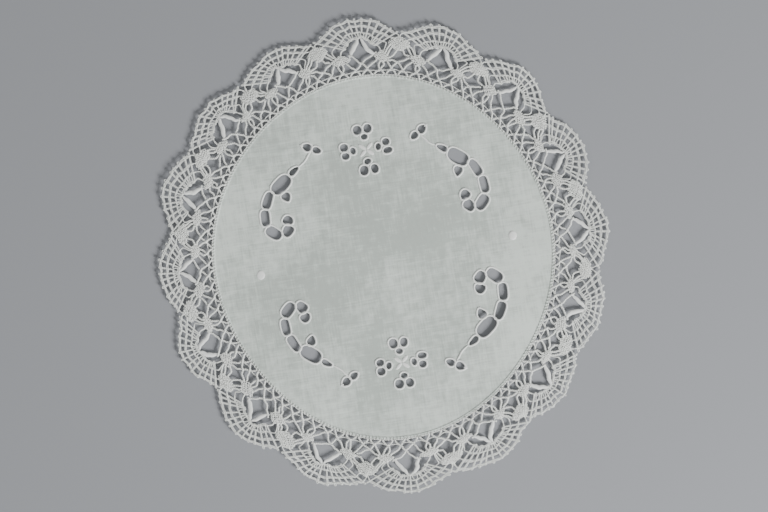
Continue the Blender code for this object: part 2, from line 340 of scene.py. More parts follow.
def ring_faces(rings: int, sides: int, closed: bool) -> tuple[np.ndarray, np.ndarray]:
    """Number the faces of a tube of rings, each of as many points, with fans over open ends.

    Args:
        rings: How many rings the tube has.
        sides: How many points each ring has.
        closed: Whether the last ring joins the first.

    Returns:
        The four-cornered faces and the three-cornered faces of the two ends.
    """
    ring = np.arange(rings if closed else rings - 1)[:, None]
    side = np.arange(sides)[None, :]
    after = (ring + 1) % rings * sides
    beside = (side + 1) % sides
    here = ring * sides
    quads = np.stack([here + side, after + side, after + beside, here + beside], axis=-1)
    if closed:
        return quads.reshape(-1, 4), no_faces(3)
    fan = np.arange(1, sides - 1)
    first = np.stack([np.zeros_like(fan), fan, fan + 1], axis=-1)
    last = first[:, ::-1] + (rings - 1) * sides
    return quads.reshape(-1, 4), np.concatenate([first, last])


def unit_length(vectors: np.ndarray) -> np.ndarray:
    """Scale vectors to a length of one; one of no length stays as it is."""
    return vectors / np.maximum(np.linalg.norm(vectors, axis=-1, keepdims=True), LEAST_LENGTH)


def ahead_of(path: np.ndarray, closed: bool) -> np.ndarray:
    """Find the direction of a path at each of its points, from the points before and after it.

    Args:
        path: Points of shape (n, dimension).
        closed: Whether the path joins its own start.

    Returns:
        Unit vectors of the same shape.
    """
    if closed:
        return unit_length(np.roll(path, -1, axis=0) - np.roll(path, 1, axis=0))
    return unit_length(np.gradient(path, axis=0))


def frames(path: np.ndarray, closed: bool) -> tuple[np.ndarray, np.ndarray]:
    """Find the sideways and upward directions along a path that nowhere stands upright.

    Args:
        path: Points of shape (n, 3).
        closed: Whether the path joins its own start.

    Returns:
        Unit vectors to the right of the path and above it, each of shape (n, 3).
    """
    ahead = ahead_of(path, closed)
    right = unit_length(np.stack([ahead[:, 1], -ahead[:, 0], np.zeros(len(path))], axis=-1))
    return right, np.cross(right, ahead)


def wrapped(path: np.ndarray, sides: int, spans: int) -> np.ndarray:
    """Work out how far round and along a tube each corner of its faces lies.

    Args:
        path: The tube's middle line, of shape (n, 3), in metres.
        sides: How many points go round it.
        spans: How many rings of faces it has.

    Returns:
        Shares of a turn and lengths in millimetres, of shape (spans * sides, 4, 2).
    """
    run = length_along(path) / MM
    run = np.append(run, 2.0 * run[-1] - run[-2])
    side = np.arange(sides) / sides
    round_it = np.stack([side, side, side + 1.0 / sides, side + 1.0 / sides], axis=-1)
    along = np.stack([run[:spans], run[1 : spans + 1], run[1 : spans + 1], run[:spans]], axis=-1)
    shape = (spans, sides, 4)
    pair = (np.broadcast_to(round_it[None], shape), np.broadcast_to(along[:, None], shape))
    return np.stack(pair, axis=-1).reshape(-1, 4, 2)


def tube(
    path: np.ndarray,
    half_wide: np.ndarray | float,
    half_high: np.ndarray | float,
    sides: int,
    closed: bool = False,
    twisted: bool = False,
) -> Patch:
    """Carry an oval along a path: each ring is the path point plus its sideways and upward reach.

    Args:
        path: Points of shape (n, 3), in metres.
        half_wide: Half the oval's width, one value or one for each ring and side, in metres.
        half_high: Half the oval's height, in the same way.
        sides: How many points go round the oval.
        closed: Whether the path joins its own start.
        twisted: Whether it is a thread, whose plies wind round it.

    Returns:
        The tube's surface, closed at both ends.
    """
    right, up = frames(path, closed)
    turn = TAU * np.arange(sides) / sides
    wide = np.broadcast_to(np.atleast_2d(half_wide), (len(path), sides)) * np.cos(turn)
    high = np.broadcast_to(np.atleast_2d(half_high), (len(path), sides)) * np.sin(turn)
    rings = path[:, None, :] + wide[..., None] * right[:, None, :] + high[..., None] * up[:, None, :]
    quads, tris = ring_faces(len(path), sides, closed)
    wraps = wrapped(path, sides, len(quads) // sides) if twisted else None
    return Patch(rings.reshape(-1, 3), quads, tris, wraps)


def joined(patches: Iterable[Patch]) -> Patch:
    """Join surfaces into one, each one's face numbers moved past the points before it.

    Args:
        patches: The surfaces.

    Returns:
        All of them as one surface.
    """
    points, quads, tris, wraps = [], [], [], []
    start = 0
    for patch in patches:
        points.append(patch.points)
        quads.append(patch.quads + start)
        tris.append(patch.tris + start)
        bare = np.zeros((len(patch.quads), 4, 2))
        wraps.append(bare if patch.wraps is None else patch.wraps)
        start += len(patch.points)
    return Patch(*(np.concatenate(parts) for parts in (points, quads, tris, wraps)))


def make_piece(name: str, patch: Patch, finish: bpy.types.Material) -> bpy.types.Object:
    """Turn a surface into a smooth-shaded object that rides on the doily.

    Args:
        name: The piece's name.
        patch: Its surface, in metres.
        finish: Its material.

    Returns:
        The new object.
    """
    mesh = bpy.data.meshes.new(name)
    mesh.vertices.add(len(patch.points))
    mesh.vertices.foreach_set("co", patch.points.astype(np.float32).ravel())
    corners = np.concatenate([patch.quads.ravel(), patch.tris.ravel()]).astype(np.int32)
    sizes = np.concatenate([np.full(len(patch.quads), 4), np.full(len(patch.tris), 3)])
    starts = np.concatenate([[0], np.cumsum(sizes)[:-1]]).astype(np.int32)
    mesh.loops.add(len(corners))
    mesh.loops.foreach_set("vertex_index", corners)
    mesh.polygons.add(len(sizes))
    mesh.polygons.foreach_set("loop_start", starts)
    mesh.polygons.foreach_set("use_smooth", np.ones(len(sizes), dtype=bool))
    mesh.update(calc_edges=True)
    if patch.wraps is not None:
        wraps = np.zeros((len(corners), 3), dtype=np.float32)
        wraps[: patch.quads.size, :2] = patch.wraps.reshape(-1, 2)
        attribute = mesh.attributes.new(WRAP_ATTRIBUTE, "FLOAT_VECTOR", "CORNER")
        attribute.data.foreach_set("vector", wraps.ravel())
    mesh.validate()
    mesh.materials.append(finish)
    piece = bpy.data.objects.new(name, mesh)
    bpy.context.collection.objects.link(piece)
    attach(piece, "root")
    LOG.info("%s: %d triangles", name, 2 * len(patch.quads) + len(patch.tris))
    return piece


# ------------------------------------------------------------------ threads
def smooth_line(knots: Sequence[Sequence[float]] | np.ndarray, step: float) -> np.ndarray:
    """Draw an even curve through knots: a Catmull-Rom spline, sampled at equal lengths.

    Args:
        knots: Points of any dimension.
        step: The distance between samples, in the knots' own unit.

    Returns:
        Samples of shape (n, dimension), the first and last knots included.
    """
    given = np.asarray(knots, dtype=float)
    ends = np.concatenate([[2.0 * given[0] - given[1]], given, [2.0 * given[-1] - given[-2]]])
    at = np.linspace(0.0, len(given) - 1.0, SAMPLES_PER_KNOT * len(given))
    index = np.minimum(at.astype(int), len(given) - 2)
    part = (at - index)[:, None]
    a, b, c, d = (ends[index + shift] for shift in range(4))
    bend = 2.0 * a - 5.0 * b + 4.0 * c - d
    turn = 3.0 * b - a - 3.0 * c + d
    curve = b + 0.5 * part * (c - a + part * (bend + part * turn))
    return even(curve, step)


def even(curve: np.ndarray, step: float) -> np.ndarray:
    """Sample a line again at equal distances.

    Args:
        curve: Points of any dimension.
        step: The distance wanted; the line's length decides the nearest that fits.

    Returns:
        Samples of shape (n, dimension), the line's two ends included.
    """
    run = length_along(curve)
    count = max(FEWEST_POINTS, int(round(run[-1] / step)) + 1)
    wanted = np.linspace(0.0, run[-1], count)
    return np.column_stack([np.interp(wanted, run, column) for column in curve.T])


def length_along(path: np.ndarray) -> np.ndarray:
    """Return the length run at each point of a path."""
    return np.concatenate([[0.0], np.cumsum(np.linalg.norm(np.diff(path, axis=0), axis=1))])


@dataclass(frozen=True)
class Thread:
    """One weight of thread: its thickness, how finely it is drawn, and its pair's twist.

    The spread is how far each thread of a pair lies from their middle, as a share of its thickness.
    """

    thick_mm: float = 0.38
    sides: int = 5
    step_mm: float = 0.34
    twist_mm: float = 1.7
    spread: float = 0.46

    def strand(self, path: np.ndarray, closed: bool = False) -> Patch:
        """Draw a single thread along a path in millimetres."""
        half = 0.5 * self.thick_mm * MM
        return tube(path * MM, half, half, self.sides, closed, twisted=True)

    def pair(self, path: np.ndarray, phase: float = 0.0, closed: bool = False) -> list[Patch]:
        """Twist two threads along a path: each winds round it as a helix, half a turn apart.

        Args:
            path: Points of shape (n, 3), in millimetres.
            phase: Where the twist begins, in radians.
            closed: Whether the path joins its own start.

        Returns:
            The two threads' surfaces.
        """
        right, up = frames(path, closed)
        run = length_along(path)
        turns = run / self.twist_mm
        if closed:
            turns = np.arange(len(path)) / len(path) * round(run[-1] / self.twist_mm)
        turn = (TAU * turns + phase)[:, None]
        wind = self.spread * self.thick_mm * (np.cos(turn) * right + np.sin(turn) * up)
        return [self.strand(path + wind, closed), self.strand(path - wind, closed)]


GROUND_THREAD = Thread(thick_mm=0.52, step_mm=0.38)
TRAIL_THREAD = Thread(thick_mm=0.33, step_mm=0.38)
WORKER_THREAD = Thread(thick_mm=0.28, sides=4, step_mm=0.38)
FOOT_THREAD = Thread(thick_mm=0.27, step_mm=0.38)
CLOTH_THREAD = Thread(thick_mm=0.42)
WHIPPING_THREAD = Thread(thick_mm=0.3, sides=4)


# ------------------------------------------------------------------ finishes
class Grain(NamedTuple):
    """One noise of a finish: how close it lies along x, y and z, its detail and its weight."""

    scale: tuple[float, float, float]
    detail: float
    weight: float


# The tones of spun fibre and of uneven yarn, and how far two limits wander in metres: the place of
# each thread of the weave, and the edge of the linen's middle, greyed by painted shade.
MOTTLE = (Grain((24.0, 24.0, 24.0), 6.0, 2.9), Grain((300.0, 300.0, 300.0), 4.0, 1.7))
SLUBS = (
    Grain((1500.0, 70.0, 1.0), 2.0, 1.0),
    Grain((70.0, 1500.0, 1.0), 2.0, 1.0),
    Grain((470.0, 60.0, 1.0), 2.0, 0.6),
    Grain((60.0, 470.0, 1.0), 2.0, 0.6),
)
THREAD_DRIFT = Grain((160.0, 160.0, 160.0), 2.0, 0.6 * MM)
PAINTED_SHADE_LIMIT = Grain((34.0, 34.0, 34.0), 4.0, 50.0 * MM)
FIBRE_DETAIL = 2.0
PINHOLE_SHARPNESS = 3.0

# The numbers of the sockets that a Mix node uses for colours.
MIX_SHARE, MIX_FROM, MIX_TO, MIX_RESULT = 0, 6, 7, 2


class Shading:
    """A short way to write shader nodes in one tree."""

    def __init__(self, tree: bpy.types.NodeTree) -> None:
        """Keep the tree that the nodes go into."""
        self.tree = tree

    def feed(self, socket: Socket, value: object) -> None:
        """Give an input its value.

        Args:
            socket: The input.
            value: An output to join to it, or a constant.
        """
        if isinstance(value, Socket):
            self.tree.links.new(value, socket)
        else:
            socket.default_value = value

    def node(self, kind: str, feeds: dict[str | int, object], **settings: object) -> bpy.types.Node:
        """Add a node.

        Args:
            kind: The node's type.
            feeds: An output or a constant for each input, by the input's name or number.
            settings: The node's own properties.

        Returns:
            The new node.
        """
        made = self.tree.nodes.new(kind)
        for name, value in settings.items():
            setattr(made, name, value)
        for name, value in feeds.items():
            self.feed(made.inputs[name], value)
        return made

    def math(self, operation: str, *values: float | Socket) -> Socket:
        """Add a Math node of numbers and outputs, and return its result."""
        return self.node("ShaderNodeMath", dict(enumerate(values)), operation=operation).outputs[0]

    def noise(self, place: Socket, scale: float | Socket, detail: float) -> Socket:
        """Add a Noise texture on given coordinates, and return its factor."""
        feeds = {"Vector": place, "Scale": scale, "Detail": detail}
        return self.node("ShaderNodeTexNoise", feeds).outputs["Fac"]

    def grained(self, place: Socket, *grains: Grain) -> Socket:
        """Add up noises, each by its weight, less half of all the weights.

        Args:
            place: The coordinates.
            grains: The noises.

        Returns:
            A value that swings about nought.
        """
        total = -0.5 * sum(grain.weight for grain in grains)
        for grain in grains:
            scaled = self.node("ShaderNodeMapping", {"Vector": place, "Scale": grain.scale})
            noise = self.noise(scaled.outputs["Vector"], 1.0, grain.detail)
            total = self.math("MULTIPLY_ADD", noise, grain.weight, total)
        return total

    def effect(self, group: bpy.types.NodeTree, **feeds: object) -> bpy.types.NodeOutputs:
        """Use a shared effect: feed its named inputs, and return its outputs."""
        return self.node("ShaderNodeGroup", feeds, node_tree=group).outputs


def shared_effect(
    name: str, inputs: dict[str, str], outputs: Sequence[str]
) -> tuple[Shading, bpy.types.NodeOutputs, bpy.types.NodeInputs]:
    """Start a shared effect: a shader node group.

    Args:
        name: The group's name.
        inputs: Each input's name, and its kind of socket.
        outputs: The names of the values that it gives.

    Returns:
        The group's writer, the sockets that its inputs arrive at, and those that its outputs leave by.
    """
    group = bpy.data.node_groups.new(name, "ShaderNodeTree")
    for label, kind in inputs.items():
        group.interface.new_socket(name=label, in_out="INPUT", socket_type="NodeSocket" + kind)
    for label in outputs:
        group.interface.new_socket(name=label, in_out="OUTPUT", socket_type="NodeSocketFloat")
    shading = Shading(group)
    given = shading.node("NodeGroupInput", {}).outputs
    return shading, given, shading.node("NodeGroupOutput", {}).inputs


def fibre_group() -> bpy.types.NodeTree:
    """Build the shared effect of spun fibre: a soft mottle for colour and a fine relief.

    Returns:
        A group with inputs Place, Fineness and outputs Mottle (about 0, up or down) and Relief.
    """
    inputs = {"Place": "Vector", "Fineness": "Float"}
    shading, given, made = shared_effect("spun_fibre", inputs, ("Mottle", "Relief"))
    shading.feed(made["Mottle"], shading.grained(given["Place"], *MOTTLE))
    shading.feed(made["Relief"], shading.noise(given["Place"], given["Fineness"], FIBRE_DETAIL))
    return shading.tree


def ply_group() -> bpy.types.NodeTree:
    """Build the shared effect of plied thread: rounded plies that wind round it, with sharp grooves.

    The relief is the size of the sine of half the turns made: round the thread and along it.

    Returns:
        A group with inputs Wrap (turns, millimetres), Plies, Lay (millimetres) and output Relief.
    """
    inputs = {"Wrap": "Vector", "Plies": "Float", "Lay": "Float"}
    shading, given, made = shared_effect("plied_thread", inputs, ("Relief",))
    around, along, _ = shading.node("ShaderNodeSeparateXYZ", {0: given["Wrap"]}).outputs
    lays = shading.math("DIVIDE", along, given["Lay"])
    turns = shading.math("MULTIPLY_ADD", around, given["Plies"], lays)
    wave = shading.math("SINE", shading.math("MULTIPLY", turns, math.pi))
    shading.feed(made["Relief"], shading.math("ABSOLUTE", wave))
    return shading.tree


def weave_group() -> bpy.types.NodeTree:
    """Build the shared effect of plain weave: over-and-under relief, slubs and open corners.

    The relief is the squared sine across minus the squared sine along, at the thread pitch, which
    is high where one set of threads crosses over and low where it dips under. The threads drift.

    Returns:
        A group with inputs Place, Pitch (metres) and outputs Relief, Slub and Pinhole.
    """
    inputs = {"Place": "Vector", "Pitch": "Float"}
    shading, given, made = shared_effect("plain_weave", inputs, ("Relief", "Slub", "Pinhole"))
    drift = shading.grained(given["Place"], THREAD_DRIFT)
    parts = shading.node("ShaderNodeSeparateXYZ", {0: given["Place"]}).outputs
    squares = []
    for part in (parts[0], parts[1]):
        cycles = shading.math("DIVIDE", shading.math("ADD", part, drift), given["Pitch"])
        wave = shading.math("SINE", shading.math("MULTIPLY", cycles, math.pi))
        squares.append(shading.math("MULTIPLY", wave, wave))
    corner = shading.math("MULTIPLY", *squares)
    shading.feed(made["Relief"], shading.math("SUBTRACT", *squares))
    shading.feed(made["Pinhole"], shading.math("POWER", corner, PINHOLE_SHARPNESS))
    shading.feed(made["Slub"], shading.grained(given["Place"], *SLUBS))
    return shading.tree


@dataclass(frozen=True)
class Finish:
    """A dry surface: its name, its colour, how rough it is and how much sheen it has."""

    name: str
    colour: tuple[float, float, float]
    roughness: float
    sheen: float
    specular: float = 0.25
    sheen_roughness: float = 0.5

    def start(self) -> tuple[bpy.types.Material, Shading, bpy.types.NodeInputs]:
        """Make the material in its plain colour.

        Returns:
            The material, the writer of its nodes, and the inputs of its surface.
        """
        material = bpy.data.materials.new(self.name)
        material.use_nodes = True
        surface = material.node_tree.nodes["Principled BSDF"].inputs
        surface["Base Color"].default_value = (*self.colour, 1.0)
        surface["Roughness"].default_value = self.roughness
        surface["Specular IOR Level"].default_value = self.specular
        surface["Sheen Weight"].default_value = self.sheen
        surface["Sheen Roughness"].default_value = self.sheen_roughness
        return material, Shading(material.node_tree), surface


@dataclass(frozen=True, kw_only=True)
class ClothFinish(Finish):
    """A finish with a darker colour for mottle and painted shade in hollows, and a fine relief."""

    shade: tuple[float, float, float]
    bump_strength: float = 0.6
    bump_mm: float = 1.0

    def dress(
        self, shading: Shading, surface: bpy.types.NodeInputs, tone: Socket, height: Socket
    ) -> None:
        """Lead a tone to the colour, from the shade to the full colour, and a height to the bump.

        Args:
            shading: The writer of the material's nodes.
            surface: The inputs of its surface.
            tone: The tone, from 0 to 1.
            height: The height, in shares of the bump's depth.
        """
        colours = {MIX_SHARE: tone, MIX_FROM: (*self.shade, 1.0), MIX_TO: (*self.colour, 1.0)}
        ramp = shading.node("ShaderNodeMix", colours, data_type="RGBA")
        relief = {"Strength": self.bump_strength, "Distance": self.bump_mm * MM, "Height": height}
        bump = shading.node("ShaderNodeBump", relief)
        shading.feed(surface["Base Color"], ramp.outputs[MIX_RESULT])
        shading.feed(surface["Normal"], bump.outputs["Normal"])


@dataclass(frozen=True)
class ThreadFinish(ClothFinish):
    """The look of bleached linen thread: its fibre, and the plies that wind round it."""

    roughness: float = 0.78
    sheen: float = 0.25
    middle_tone: float = 0.35
    fineness: float = 5200.0
    relief_mm: float = 0.035
    plies: float = 2.0
    lay_mm: float = 0.62
    ply_relief_mm: float = 0.07
    # Painted shade in the grooves between the plies.
    painted_groove_shade: float = 0.5

    def make(self, fibre: bpy.types.NodeTree, plied: bpy.types.NodeTree) -> bpy.types.Material:
        """Build the material: colour from mottle and painted groove shade, bump from fibre and plies.

        Args:
            fibre: The shared effect of spun fibre.
            plied: The shared effect of plied thread.

        Returns:
            The material.
        """
        material, shading, surface = self.start()
        place = shading.node("ShaderNodeTexCoord", {}).outputs["Object"]
        wrap = shading.node("ShaderNodeAttribute", {}, attribute_name=WRAP_ATTRIBUTE)
        spun = shading.effect(fibre, Place=place, Fineness=self.fineness)
        twist = {"Wrap": wrap.outputs["Vector"], "Plies": self.plies, "Lay": self.lay_mm}
        ply = shading.effect(plied, **twist)["Relief"]
        # Painted shade: the grooves between the plies are darker than their crowns.
        tone = shading.math("MULTIPLY_ADD", ply, self.painted_groove_shade, spun["Mottle"])
        tone = shading.math("ADD", tone, self.middle_tone)
        height = shading.math("MULTIPLY", spun["Relief"], self.relief_mm)
        height = shading.math("MULTIPLY_ADD", ply, self.ply_relief_mm, height)
        self.dress(shading, surface, tone, height)
        return material


@dataclass(frozen=True)
class LinenFinish(ClothFinish):
    """The look of the linen: plain weave with slubs, a soft mottle, and painted shade.

    The painted shade darkens the weave's pinholes and greys the middle; toward the hem is painted
    light.
    """

    roughness: float = 0.82
    sheen: float = 0.2
    bump_strength: float = 0.7
    bump_mm: float = 0.09
    pitch_mm: float = 0.46
    fineness: float = 4200.0
    middle_tone: float = 0.5
    slub_tone: float = 1.2
    # Painted shade in the pinholes of the weave.
    painted_pinhole_shade: float = -0.6
    fibre_relief: float = 0.35
    slub_relief: float = 0.9
    # How far the painted shade of the middle reaches, how softly it turns to painted light, and its
    # strength.
    painted_shade_reach_mm: float = 54.0
    painted_shade_fade_mm: float = 14.0
    painted_shade_tone: float = 0.3

    def painted_shade(self, shading: Shading, place: Socket) -> Socket:
        """Work out the painted shade and light: a tone greyer in the middle and lighter toward the hem.

        It is the hyperbolic tangent of the distance past the reach of the painted shade, whose limit is
        ragged.

        Args:
            shading: The writer of the material's nodes.
            place: The coordinates.

        Returns:
            The tone to add.
        """
        far = shading.node("ShaderNodeVectorMath", {0: place}, operation="LENGTH").outputs["Value"]
        reach = shading.math("ADD", far, shading.grained(place, PAINTED_SHADE_LIMIT))
        past = shading.math("SUBTRACT", reach, self.painted_shade_reach_mm * MM)
        share = shading.math("TANH", shading.math("DIVIDE", past, self.painted_shade_fade_mm * MM))
        return shading.math("MULTIPLY", share, self.painted_shade_tone)

    def make(self, fibre: bpy.types.NodeTree, weave: bpy.types.NodeTree) -> bpy.types.Material:
        """Build the material: weave and fibre relief, darker slubs, painted shade in pinholes and
        middle.

        Args:
            fibre: The shared effect of spun fibre.
            weave: The shared effect of plain weave.

        Returns:
            The material.
        """
        material, shading, surface = self.start()
        place = shading.node("ShaderNodeTexCoord", {}).outputs["Object"]
        woven = shading.effect(weave, Place=place, Pitch=self.pitch_mm * MM)
        spun = shading.effect(fibre, Place=place, Fineness=self.fineness)
        tone = shading.math("MULTIPLY_ADD", woven["Slub"], self.slub_tone, spun["Mottle"])
        # Painted shade in the pinholes, where the threads of the weave part.
        tone = shading.math("MULTIPLY_ADD", woven["Pinhole"], self.painted_pinhole_shade, tone)
        tone = shading.math("ADD", tone, self.middle_tone)
        # Painted shade greys the middle of the linen, and painted light brightens it toward the hem.
        tone = shading.math("ADD", tone, self.painted_shade(shading, place))
        height = shading.math("MULTIPLY_ADD", spun["Relief"], self.fibre_relief, woven["Relief"])
        height = shading.math("MULTIPLY_ADD", woven["Slub"], self.slub_relief, height)
        self.dress(shading, surface, tone, height)
        return material


# ------------------------------------------------------------------ lace
class Leg(NamedTuple):
    """One twisted pair of the ground: its knots, then its crossing and its pin at the foot.

    Knots are (across, reach) from the repeat's foot centre, in millimetres. The crossing and the
    pin are counted in pin pitches. A pair that stops short of the foot has neither.
    """

    knots: tuple[tuple[float, float], ...]
    crossing: float = 0.0
    pin: float = 0.0


GROUND_LEGS = {
    "left spider over the middle": Leg(
        ((-5.8, 10.2), (-4.0, 9.0), (-1.9, 7.6), (0.4, 6.1), (1.9, 4.6)), 0.5, 1.0
    ),
    "right spider over the middle": Leg(
        ((6.9, 10.1), (4.9, 9.0), (2.7, 7.6), (0.4, 6.1), (-1.3, 4.6)), -0.5, -1.0
    ),
    "left inner": Leg(((-6.9, 7.2), (-4.9, 5.0)), -0.5, 0.0),
    "right inner": Leg(((7.6, 7.0), (5.2, 4.9)), 0.5, 0.0),
    "left middle, out": Leg(((-9.9, 6.6), (-9.9, 4.7)), -1.5, -1.0),
    "left middle, in": Leg(((-8.4, 6.6), (-7.9, 4.7)), -1.5, -2.0),
    "right middle, in": Leg(((9.0, 6.4), (8.1, 4.6)), 1.5, 2.0),
    "right middle, out": Leg(((10.6, 6.4), (10.3, 4.6)), 1.5, 1.0),
    "left outer": Leg(((-11.6, 7.0), (-13.4, 4.9)), -2.5, -3.0),
    "right outer": Leg(((12.3, 6.8), (13.6, 4.9)), 2.5, 3.0),
    "valley crossing, down": Leg(((12.9, 7.5), (15.6, 6.5), (17.7, 5.3), (19.2, 4.2)), 3.5, 4.0),
    "valley crossing, up": Leg(((22.6, 7.6), (19.9, 6.5), (17.7, 5.3), (16.2, 4.2)), 2.5, 2.0),
    "round gap, left side": Leg(((12.9, 8.2), (15.0, 8.9), (15.9, 10.2), (16.3, 11.6))),
    "round gap, right side": Leg(((22.5, 8.4), (20.4, 9.0), (19.5, 10.3), (19.1, 11.6))),
    "right spider to diamond": Leg(((12.0, 9.3), (13.2, 10.9), (14.6, 12.6))),
    "left spider to diamond": Leg(((-11.6, 9.3), (-13.1, 10.9), (-14.6, 12.6))),
    "right spider to corner": Leg(((10.9, 9.8), (12.3, 11.8), (13.9, 13.7))),
    "left spider to corner": Leg(((-10.5, 9.9), (-12.1, 11.9), (-13.8, 13.8))),
}


@dataclass(frozen=True)
class Ground:
    """The twisted pairs that tie the spiders to each other, to the diamonds and to the foot.

    Each step of foot_way is a share of the way from a leg's crossing to its pin, and a reach. The
    twist begins leg_shift radians later in each leg, and repeat_shift later in each repeat.
    """

    pinning: Pinning
    thread: Thread
    height_mm: float = 0.58
    over_mm: float = 0.14
    foot_way: tuple[tuple[float, float], ...] = ((0.0, 2.8), (0.32, 2.05), (0.66, 1.05), (0.84, 0.1))
    leg_shift: float = 1.7
    repeat_shift: float = 0.9

    def foot(self, leg: Leg) -> tuple[tuple[float, float], ...]:
        """List a leg's knots at the foot, from its crossing, past the passives, to beside its pin.

        Args:
            leg: The leg.

        Returns:
            Knots as (across, reach) in millimetres, none for a leg that stops short.
        """
        run = leg.pin - leg.crossing
        if run == 0.0:
            return ()
        return tuple(
            (PIN_PITCH_MM * (leg.crossing + share * run), reach) for share, reach in self.foot_way
        )

    def surface(self) -> Patch:
        """Lay every leg of every repeat, those that lean one way over those that lean the other.

        Returns:
            The ground's surface.
        """
        patches: list[Patch] = []
        for index in REPEATS:
            for number, leg in enumerate(GROUND_LEGS.values()):
                knots = leg.knots + self.foot(leg)
                line = smooth_line(knots, self.thread.step_mm)
                spots = self.pinning.in_repeat(index, line[:, 0], line[:, 1])
                side = self.over_mm if knots[-1][0] > knots[0][0] else -self.over_mm
                path = self.pinning.laid(spots, self.height_mm + side)
                phase = self.leg_shift * number + self.repeat_shift * index
                patches += self.thread.pair(path, phase)
        return joined(patches)


@dataclass(frozen=True)
class Footside:
    """The straight side of the lace: a twisted edge pair and the passive pair beside it.

    Their lines have a point every coarseness times the thread's own step. They sway in and out
    between the pins, repeat_shift radians later in each repeat.
    """

    pinning: Pinning
    thread: Thread
    height_mm: float = 0.58
    edge_mm: float = 0.02
    edge_sway_mm: float = 0.05
    passive_mm: float = 2.1
    passive_sway_mm: float = 0.16
    passive_weave_mm: float = 0.12
    pins: int = 6
    coarseness: float = 1.3
    repeat_shift: float = 0.4

    def around(self, reach_mm: float, weave_mm: float, sway_mm: float) -> np.ndarray:
        """Draw a closed line round the foot: a cosine up and down, and a slower one in and out.

        Args:
            reach_mm: The line's reach from the foot.
            weave_mm: How far it weaves up and down.
            sway_mm: How far it sways in and out.

        Returns:
            Points of shape (n, 3), in millimetres.
        """
        step_mm = self.coarseness * self.thread.step_mm
        count = int(TAU * (LINEN_RADIUS_MM + reach_mm) / step_mm) // len(SCALLOPS)
        unit = np.linspace(-1.0, 1.0, count, endpoint=False)
        turn = TAU * self.pins * 0.5 * (unit + 1.0)
        height = self.height_mm + weave_mm * np.cos(2.0 * turn)
        lines = []
        for index in REPEATS:
            reach = reach_mm + sway_mm * np.cos(turn + self.repeat_shift * index)
            spots = self.pinning.in_repeat(index, unit * HALF_PITCH_MM, reach)
            lines.append(self.pinning.laid(spots, height))
        return np.concatenate(lines)

    def surface(self) -> Patch:
        """Lay the edge pair and the passive pair.

        Returns:
            The footside's surface.
        """
        edge = self.around(self.edge_mm, 0.0, self.edge_sway_mm)
        passive = self.around(self.passive_mm, -self.passive_weave_mm, self.passive_sway_mm)
        return joined(self.thread.pair(edge, closed=True) + self.thread.pair(passive, closed=True))


class Cloth(NamedTuple):
    """One patch of cloth stitch: its middle, its half sizes, its roundness and its threads' lean."""

    across_mm: float
    reach_mm: float
    half_wide_mm: float
    half_high_mm: float
    roundness: float
    lean_deg: float


SPIDERS = {
    "left spider": Cloth(-9.1, 8.4, 4.1, 2.2, 1.5, 30.0),
    "right spider": Cloth(9.9, 8.3, 4.0, 2.3, 1.5, 31.0),
}
DIAMONDS = {
    "valley diamond": Cloth(17.7, 13.9, 4.9, 3.0, 1.6, 35.0),
}


